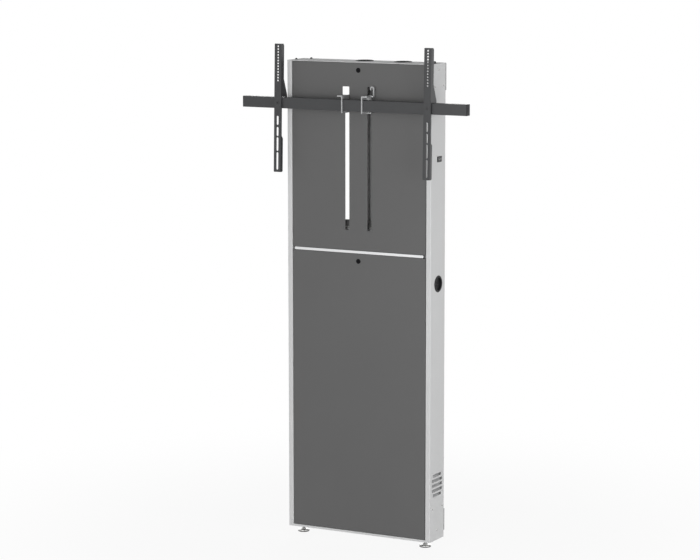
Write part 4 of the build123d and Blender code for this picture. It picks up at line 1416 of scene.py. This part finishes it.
@dataclass
class Locks:
    """Cam locks: a stepped bezel, a barrel and its nut behind the panel."""

    sides: int = 40
    rim: float = 8.8 * MM
    rim_wall: float = 0.45
    shoulder: float = 0.5 * MM
    shoulder_rise: float = 0.8
    flat: float = 1.3 * MM
    barrel: float = 7 * MM
    bore: float = 5.05 * MM
    mouth: float = 6.1 * MM
    mouth_depth: float = 0.8 * MM
    sunk: float = 0.02 * MM
    nut: Hexagon = Hexagon(21 * MM, 4 * MM)
    panel_sheet: float = 1.5 * MM

    def bezel(self, which: str, body: str) -> None:
        """Models the bezel and barrel of one lock, with its nut behind the panel.

        Args:
            which: upper or lower.
            body: the body that it moves with.
        """
        node = f"{which}_lock_housing"
        low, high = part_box(node)
        middle = (low + high) / 2
        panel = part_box(f"{which}_front_panel")[0].y
        proud, depth, rim = panel - low.y, high.y - panel, self.rim
        profile = [
            (self.barrel, -depth), (self.barrel, -self.sunk), (rim, -self.sunk), (rim, proud * self.rim_wall),
            (rim - self.shoulder, proud * self.shoulder_rise), (rim - self.flat, proud), (self.mouth, proud),
            (self.bore, proud - self.mouth_depth), (self.bore, -depth),
        ]
        ring = Bench.turned(f"{which}_lock_bezel", profile, self.sides)
        ring.placed(Axis.FRONT.matrix(Vector((middle.x, panel, middle.z))))
        ring.kept(Finish.lock_metal, body, [node])
        nut = self.nut.model(f"{which}_lock_nut")
        nut.cut(Bench.prism("bore", self.barrel, self.sides, -SPARE, self.nut.height + SPARE))
        nut.placed(Axis.BACK.matrix(Vector((middle.x, panel + self.panel_sheet, middle.z))))
        nut.kept(Finish.zinc_fastener, body)

    def build(self) -> None:
        """Builds the housings of both locks."""
        self.bezel("upper", "case")
        self.bezel("lower", "lower_panel")


@dataclass
class Drive:
    """The motor with its fins and end bell, and the screwed cover of the gearbox above it."""

    fins: int = 20
    fin_height: float = 2.0 * MM
    fin_rise: float = 1.8 * MM
    fin_share: float = 0.45
    smooth_angle: float = 25.0
    bell_height: float = 30 * MM
    bell_sides: int = 64
    bell_shares: tuple[Pair, ...] = (
        (0, 0), (0.3, 0), (0.34, 0.04), (0.74, 0.04), (0.93, 4 / 30), (1, 0.3), (1, 26.5 / 30),
        (0.96, 28 / 30), (0.96, 1), (0, 1),
    )
    cover: float = 2.4 * MM
    cover_inset: Pair = (10 * MM, 2 * MM)
    cover_corner: float = 4 * MM
    cover_edge: float = 0.6 * MM
    screw_inset: float = 15.5 * MM
    screw: ButtonHead = ButtonHead(3.2 * MM, 2 * MM)

    def gear_cover(self) -> None:
        """Screws the cover on the front of the gearbox."""
        low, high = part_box("gearbox")
        front = low.y - self.cover
        side, end = self.cover_inset
        first, last = (low.x + side, front, low.z + end), (high.x - side, low.y, high.z - end)
        cover = Bench.cube("gearbox_cover", first, last)
        cover.bevel(along(1), self.cover_corner, CORNER_STEPS)
        cover.bevel(at_front(front), self.cover_edge, FINE_STEPS)
        cover.kept(Finish.cast_housing, "case")
        corner_screws("gearbox", front, self.screw_inset, self.screw)

    def on_fin(self, centre: Vector, normal: Vector) -> bool:
        """Picks the side faces that become fins: a share of each fin's part of the turn."""
        turn = math.atan2(centre.y, centre.x) / math.tau * self.fins
        return abs(normal.z) < FACING and (turn % 1.0) < self.fin_share

    def build(self) -> None:
        """Builds the cover, the motor's housing and its end bell."""
        self.gear_cover()
        low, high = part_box("drive_motor")
        radius, length, seam = (high.x - low.x) / 2, high.z - low.z, self.bell_height
        place = upright((low + high) / 2, low.z)
        barrel = Bench.prism("motor_housing", radius - self.fin_height, self.fins * 4, seam, length)
        barrel.pick_faces(self.on_fin)
        bpy.ops.mesh.extrude_region_shrink_fatten(TRANSFORM_OT_shrink_fatten={"value": self.fin_rise})
        barrel.placed(place).kept(Finish.motor_metal, "case", ["drive_motor"], self.smooth_angle)
        profile = [(radius * out, seam * up) for out, up in self.bell_shares]
        bell = Bench.turned("motor_end_bell", profile, self.bell_sides).placed(place)
        bell.kept(Finish.motor_metal, "case")


@dataclass
class ControlBox:
    """The control box: a tray, a lid with ribs in a recess, and four lid screws."""

    lid_share: float = 0.3
    seam: float = 0.8 * MM
    seam_tongue: float = 1 * MM
    corner: float = 4 * MM
    edge: float = 1.5 * MM
    margin: float = 14 * MM
    recess: float = 1.2 * MM
    recess_slope: float = 0.8 * MM
    ribs: int = 11
    rib_width: float = 2 * MM
    rib_edge: float = 0.4 * MM
    rib_sunk: float = 0.2 * MM
    rib_depth: float = 2 * MM
    rib_spread: float = 17 * MM
    rib_end: float = 16 * MM
    screw_inset: float = 7 * MM
    screw: ButtonHead = ButtonHead(3 * MM, 1.6 * MM)

    def block(self, name: str, low: Sequence[float], high: Sequence[float], corner: float) -> Bench:
        """Models a block whose four edges from front to back are rounded by corner."""
        return Bench.cube(name, low, high).bevel(along(1), corner, CORNER_STEPS)

    def build(self) -> None:
        """Builds the tray, the lid and the screws."""
        low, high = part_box("control_box")
        seam, tongue = self.seam, self.seam_tongue
        joint = low.y + (high.y - low.y) * self.lid_share
        tray = self.block("control_box_tray", (low.x, joint + seam, low.z), high, self.corner)
        first = (low.x + seam, joint - tongue, low.z + seam)
        last = (high.x - seam, joint + seam + tongue, high.z - seam)
        tray.join(self.block("neck", first, last, self.corner - seam))
        tray.kept(Finish.grey_plastic, "case", ["control_box"])
        lid = self.block("control_box_lid", low, (high.x, joint, high.z), self.corner)
        lid.bevel(at_front(low.y), self.edge, EDGE_STEPS)
        lid.pick_faces(facing(Axis.FRONT))
        lid.inset(self.margin)
        lid.inset(self.recess_slope, self.recess)
        left, front, back = low.x + self.rib_spread, low.y + self.rib_sunk, low.y + self.rib_depth
        bottom, top = low.z + self.rib_end, high.z - self.rib_end
        pitch = (high.x - low.x - 2 * self.rib_spread) / (self.ribs - 1)
        bars = []
        for index in range(self.ribs):
            x, half = left + index * pitch, self.rib_width / 2
            bar = Bench.cube("rib", (x - half, front, bottom), (x + half, back, top))
            bars.append(bar.bevel(at_front(front), self.rib_edge, FINE_STEPS))
        lid.join(*bars).kept(Finish.grey_plastic, "case")
        corner_screws("control_box", low.y, self.screw_inset, self.screw)


@dataclass
class EndCaps:
    """Moulded caps in the ends of the crossbar, with rounded rims."""

    plate: float = 2 * MM
    corner: float = 2 * MM
    round_off: float = 1.2 * MM
    wall: float = 2.2 * MM
    plug_corner: float = 1 * MM

    def block(self, name: str, low: Vector, high: Vector, ends: Pair, inset: float) -> Bench:
        """Models a block of a cap.

        Args:
            name: the piece's name.
            low: the lowest corner of the cap.
            high: the highest corner of the cap.
            ends: the X of both ends of the block, in any order.
            inset: how far it keeps from the cap's other sides.

        Returns:
            The block.
        """
        left, right = sorted(ends)
        first = (left, low.y + inset, low.z + inset)
        return Bench.cube(name, first, (right, high.y - inset, high.z - inset))

    def build(self) -> None:
        """Models each cap with the plug that holds it in the bar."""
        for index, (low, high) in enumerate(solids("bar_end_caps")):
            side = 1 if low.x > 0 else -1
            face, back = (high.x, low.x) if side > 0 else (low.x, high.x)
            step = face - side * self.plate
            cap = self.block(f"bar_end_cap_{index + 1}", low, high, (face, step), 0.0)
            cap.bevel(along(0), self.corner, CORNER_STEPS)
            cap.bevel(at_end(side, face), self.round_off, EDGE_STEPS)
            plug = self.block("plug", low, high, (step, back), self.wall)
            cap.join(plug.bevel(along(0), self.plug_corner, FINE_STEPS))
            cap.kept(Finish.black_plastic, "carriage", ["bar_end_caps"] if index == 0 else [])


@dataclass
class RockerMarks:
    """Two raised arrows on the rocker: one up and one down."""

    radius: float = 2.6 * MM
    height: float = 0.5 * MM
    border: float = 0.3 * MM
    share: float = 0.55
    dip: float = 1.6 * MM

    def build(self) -> None:
        """Models the arrow once and sets a copy on each half of the rocker."""
        low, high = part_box("switch_rocker")
        middle, reach = (low + high) / 2, (high.y - low.y) / 2
        face = high.x - self.dip * (1 - self.share)
        arrow = Bench.prism("arrow", self.radius, 3, 0, self.height)
        arrow.pick_faces(facing(Axis.UP))
        arrow.inset(self.border)
        places = {}
        for name, side, turn in (("up", -1, 0.0), ("down", 1, math.pi)):
            tilt = math.atan2(self.dip, reach) * side
            place = Matrix.Translation((face, middle.y + side * self.share * reach, middle.z))
            place @= Matrix.Rotation(-tilt, 4, "Z") @ Matrix.Rotation(math.pi / 2, 4, "Y")
            places[f"rocker_arrow_{name}"] = place @ Matrix.Rotation(turn, 4, "Z")
        arrow.copies(places, Finish.white_plastic, "rocker")


@dataclass
class VentFilter:
    """The pleated dust filter in its frame, behind the vent slots of the right side wall."""

    middle_depth: float = 58 * MM
    middle_height: float = 229.8 * MM
    length: float = 104 * MM
    height: float = 96 * MM
    wall_sheet: float = 2 * MM
    outer_gap: float = 2.2 * MM
    pleat: float = 3 * MM
    pleat_depth: float = 2.2 * MM
    fleece: float = 0.5 * MM
    smooth_angle: float = 10.0
    frame: float = 3 * MM
    frame_lip: float = 0.1 * MM
    frame_back: float = 1 * MM

    def build(self) -> None:
        """Builds the pleats and the frame that holds them against the wall rail."""
        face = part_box("right_side_wall")[1].x - self.wall_sheet - self.outer_gap
        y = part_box("top_cover")[0].y + self.middle_depth
        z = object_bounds()[0].z + self.middle_height
        count = int(self.height / self.pleat)
        bottom = z - count * self.pleat / 2
        folds = []
        for index in range(count + 1):
            folds.append((face - (index % 2) * self.pleat_depth, bottom + index * self.pleat))
        fleece = Bench.outline("vent_filter_fleece", folds)
        fleece.edit()
        fleece.extrude((0, self.length, 0))
        bpy.ops.mesh.select_all(action="SELECT")
        bpy.ops.transform.translate(value=(0, y - self.length / 2, 0))
        fleece.modify("SOLIDIFY", thickness=self.fleece, offset=0)
        fleece.edit()
        fleece.turned_out().kept(Finish.galvanised_sheet, "case", angle=self.smooth_angle)
        centre, half = Vector((face, y, z)), Vector((0, self.length / 2, self.height / 2))
        rim, lip = Vector((0, self.frame, self.frame)), Vector((self.frame_lip, 0, 0))
        back = Vector((self.pleat_depth + self.frame_back, 0, 0))
        border = Bench.cube("vent_filter_frame", centre - half - rim - back, centre + half + rim + lip)
        border.cut(Bench.cube("opening", centre - half - back * 2, centre + half + back))
        border.kept(Finish.galvanised_sheet, "case")


# Studio


@dataclass
class Studio:
    """The pale floor, the lamps, the sky and the camera at the photograph's place."""

    camera_place: Triple = (4.2986, -8.2134, 1.42495)
    azimuth: float = math.radians(28.16)
    elevation: float = math.radians(8.41)
    roll: float = math.radians(-0.05)
    lens: float = 132.49
    sensor: float = 36.0
    view_reach: float = 1000.0
    floor_size: float = 400.0
    floor_color: Triple = (0.82, 0.82, 0.82)
    floor_roughness: float = 0.9
    foot_reach: float = 10 * MM
    white: Triple = (1.0, 1.0, 1.0)
    near_glow: float = 0.9
    far_glow: Pair = (0.5, 2.2)
    horizon_light: float = 0.95
    zenith_light: float = 0.02
    lamp_size: float = 3.0
    lamps: tuple[tuple[str, Triple, float], ...] = (
        ("front_lamp", (0.6, -5.0, 0.1), 107.0),
        ("side_lamp", (4.6, -1.6, 0.1), 97.0),
        ("rear_lamp", (-2.5, 4.5, 0.6), 70.0),
    )

    def camera(self) -> None:
        """Sets the camera where the photograph was taken from."""
        level = math.cos(self.elevation)
        side, ahead = math.sin(self.azimuth) * level, -math.cos(self.azimuth) * level
        back = Vector((side, ahead, math.sin(self.elevation)))
        data = bpy.data.cameras.new("camera")
        data.lens = self.lens
        data.sensor_width = self.sensor
        data.clip_end = self.view_reach
        camera = bpy.data.objects.new("camera", data)
        bpy.context.scene.collection.objects.link(camera)
        camera.rotation_mode = "QUATERNION"
        turn = (-back).to_track_quat("-Z", "Y").to_matrix()
        camera.rotation_quaternion = (turn @ Matrix.Rotation(self.roll, 3, "Z")).to_quaternion()
        camera.location = self.camera_place
        bpy.context.scene.camera = camera

    def floor(self, height: float) -> None:
        """Lays the floor as low as the feet can be screwed out, so that it hides no foot in any pose.

        Args:
            height: the Z of the floor.
        """
        Bench.clear()
        bpy.ops.mesh.primitive_plane_add(size=self.floor_size, location=(0, 0, height))
        floor = bpy.context.active_object
        floor.name = "floor"
        floor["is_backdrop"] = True
        graph = Graph(bpy.data.materials.new("studio_floor"))
        graph.finish(self.floor_color, self.floor_roughness)
        level = graph.place((1, 1, 0))
        away = graph.node("ShaderNodeVectorMath", {"operation": "LENGTH"}, {0: level}, "Value")
        share = self.near_glow + away.step(*self.far_glow) * (1 - self.near_glow)
        glow = graph.node("ShaderNodeEmission", {}, {"Color": self.white, "Strength": 1.0})
        plain = Value(graph, graph.shader.outputs[0])
        mixed = graph.node("ShaderNodeMixShader", {}, {0: graph.seen() * share, 1: plain, 2: glow})
        graph.connect(graph.tree.nodes["Material Output"].inputs["Surface"], mixed)
        floor.data.materials.append(graph.owner)

    def sky(self) -> None:
        """Makes a world that is white to the eye and to gloss, and dims as a light towards the zenith."""
        graph = Graph(bpy.data.worlds.new("studio"), "Background")
        toward = graph.node("ShaderNodeTexCoord", {}, {}, "Generated")
        rise = graph.node("ShaderNodeSeparateXYZ", {}, {0: toward}, "Z")
        lift = graph.math("MAXIMUM", rise, 0.0)
        light = self.horizon_light + lift * (self.zenith_light - self.horizon_light)
        graph.connect(graph.shader.inputs["Color"], self.white)
        graph.connect(graph.shader.inputs["Strength"], light + graph.seen() * (1 - light))
        bpy.context.scene.world = graph.owner

    def lamp(self, name: str, place: Triple, power: float, aim: Vector) -> None:
        """Hangs one soft square lamp.

        Args:
            name: the lamp's name.
            place: where it hangs, in metres.
            power: its power in watts.
            aim: the point that it looks at.
        """
        data = bpy.data.lights.new(name, "AREA")
        data.size = self.lamp_size
        data.energy = power
        lamp = bpy.data.objects.new(name, data)
        bpy.context.scene.collection.objects.link(lamp)
        lamp.location = place
        lamp.rotation_mode = "QUATERNION"
        lamp.rotation_quaternion = (aim - Vector(place)).to_track_quat("-Z", "Y")

    def build(self) -> None:
        """Builds the whole studio."""
        bpy.context.scene.view_settings.view_transform = "Standard"
        low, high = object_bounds()
        self.floor(low.z - self.foot_reach)
        self.sky()
        for name, place, power in self.lamps:
            self.lamp(name, place, power, (low + high) / 2)
        self.camera()


def main() -> None:
    """Dresses the frame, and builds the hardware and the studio."""
    logging.basicConfig(level=logging.INFO, format="%(name)s: %(message)s")
    PAINTS.dress_frame()
    sets = (
        ButtonScrews("side_screws", "case", outward, ButtonHead(4.5 * MM, 2.2 * MM)),
        ButtonScrews("cover_screws", "case", upward, ButtonHead(4.5 * MM, 5 * MM), Finish.black_fastener),
        HexBolts("hook_plate_bolts", "carriage", Axis.FRONT, 13 * MM, 5 * MM, 4 * MM),
        HexBolts("buffer_screws", "case", Axis.DOWN, 8 * MM, 3 * MM, 2.5 * MM),
        HexBolts("mast_bolts", "case", Axis.FRONT, 13 * MM, 5 * MM, 4 * MM),
        Spindle(),
        Feet(),
        Grommets(),
        Locks(),
        Drive(),
        ControlBox(),
        EndCaps(),
        RockerMarks(),
        VentFilter(),
        Studio(),
    )
    for item in sets:
        item.build()


if __name__ == "__main__":
    main()
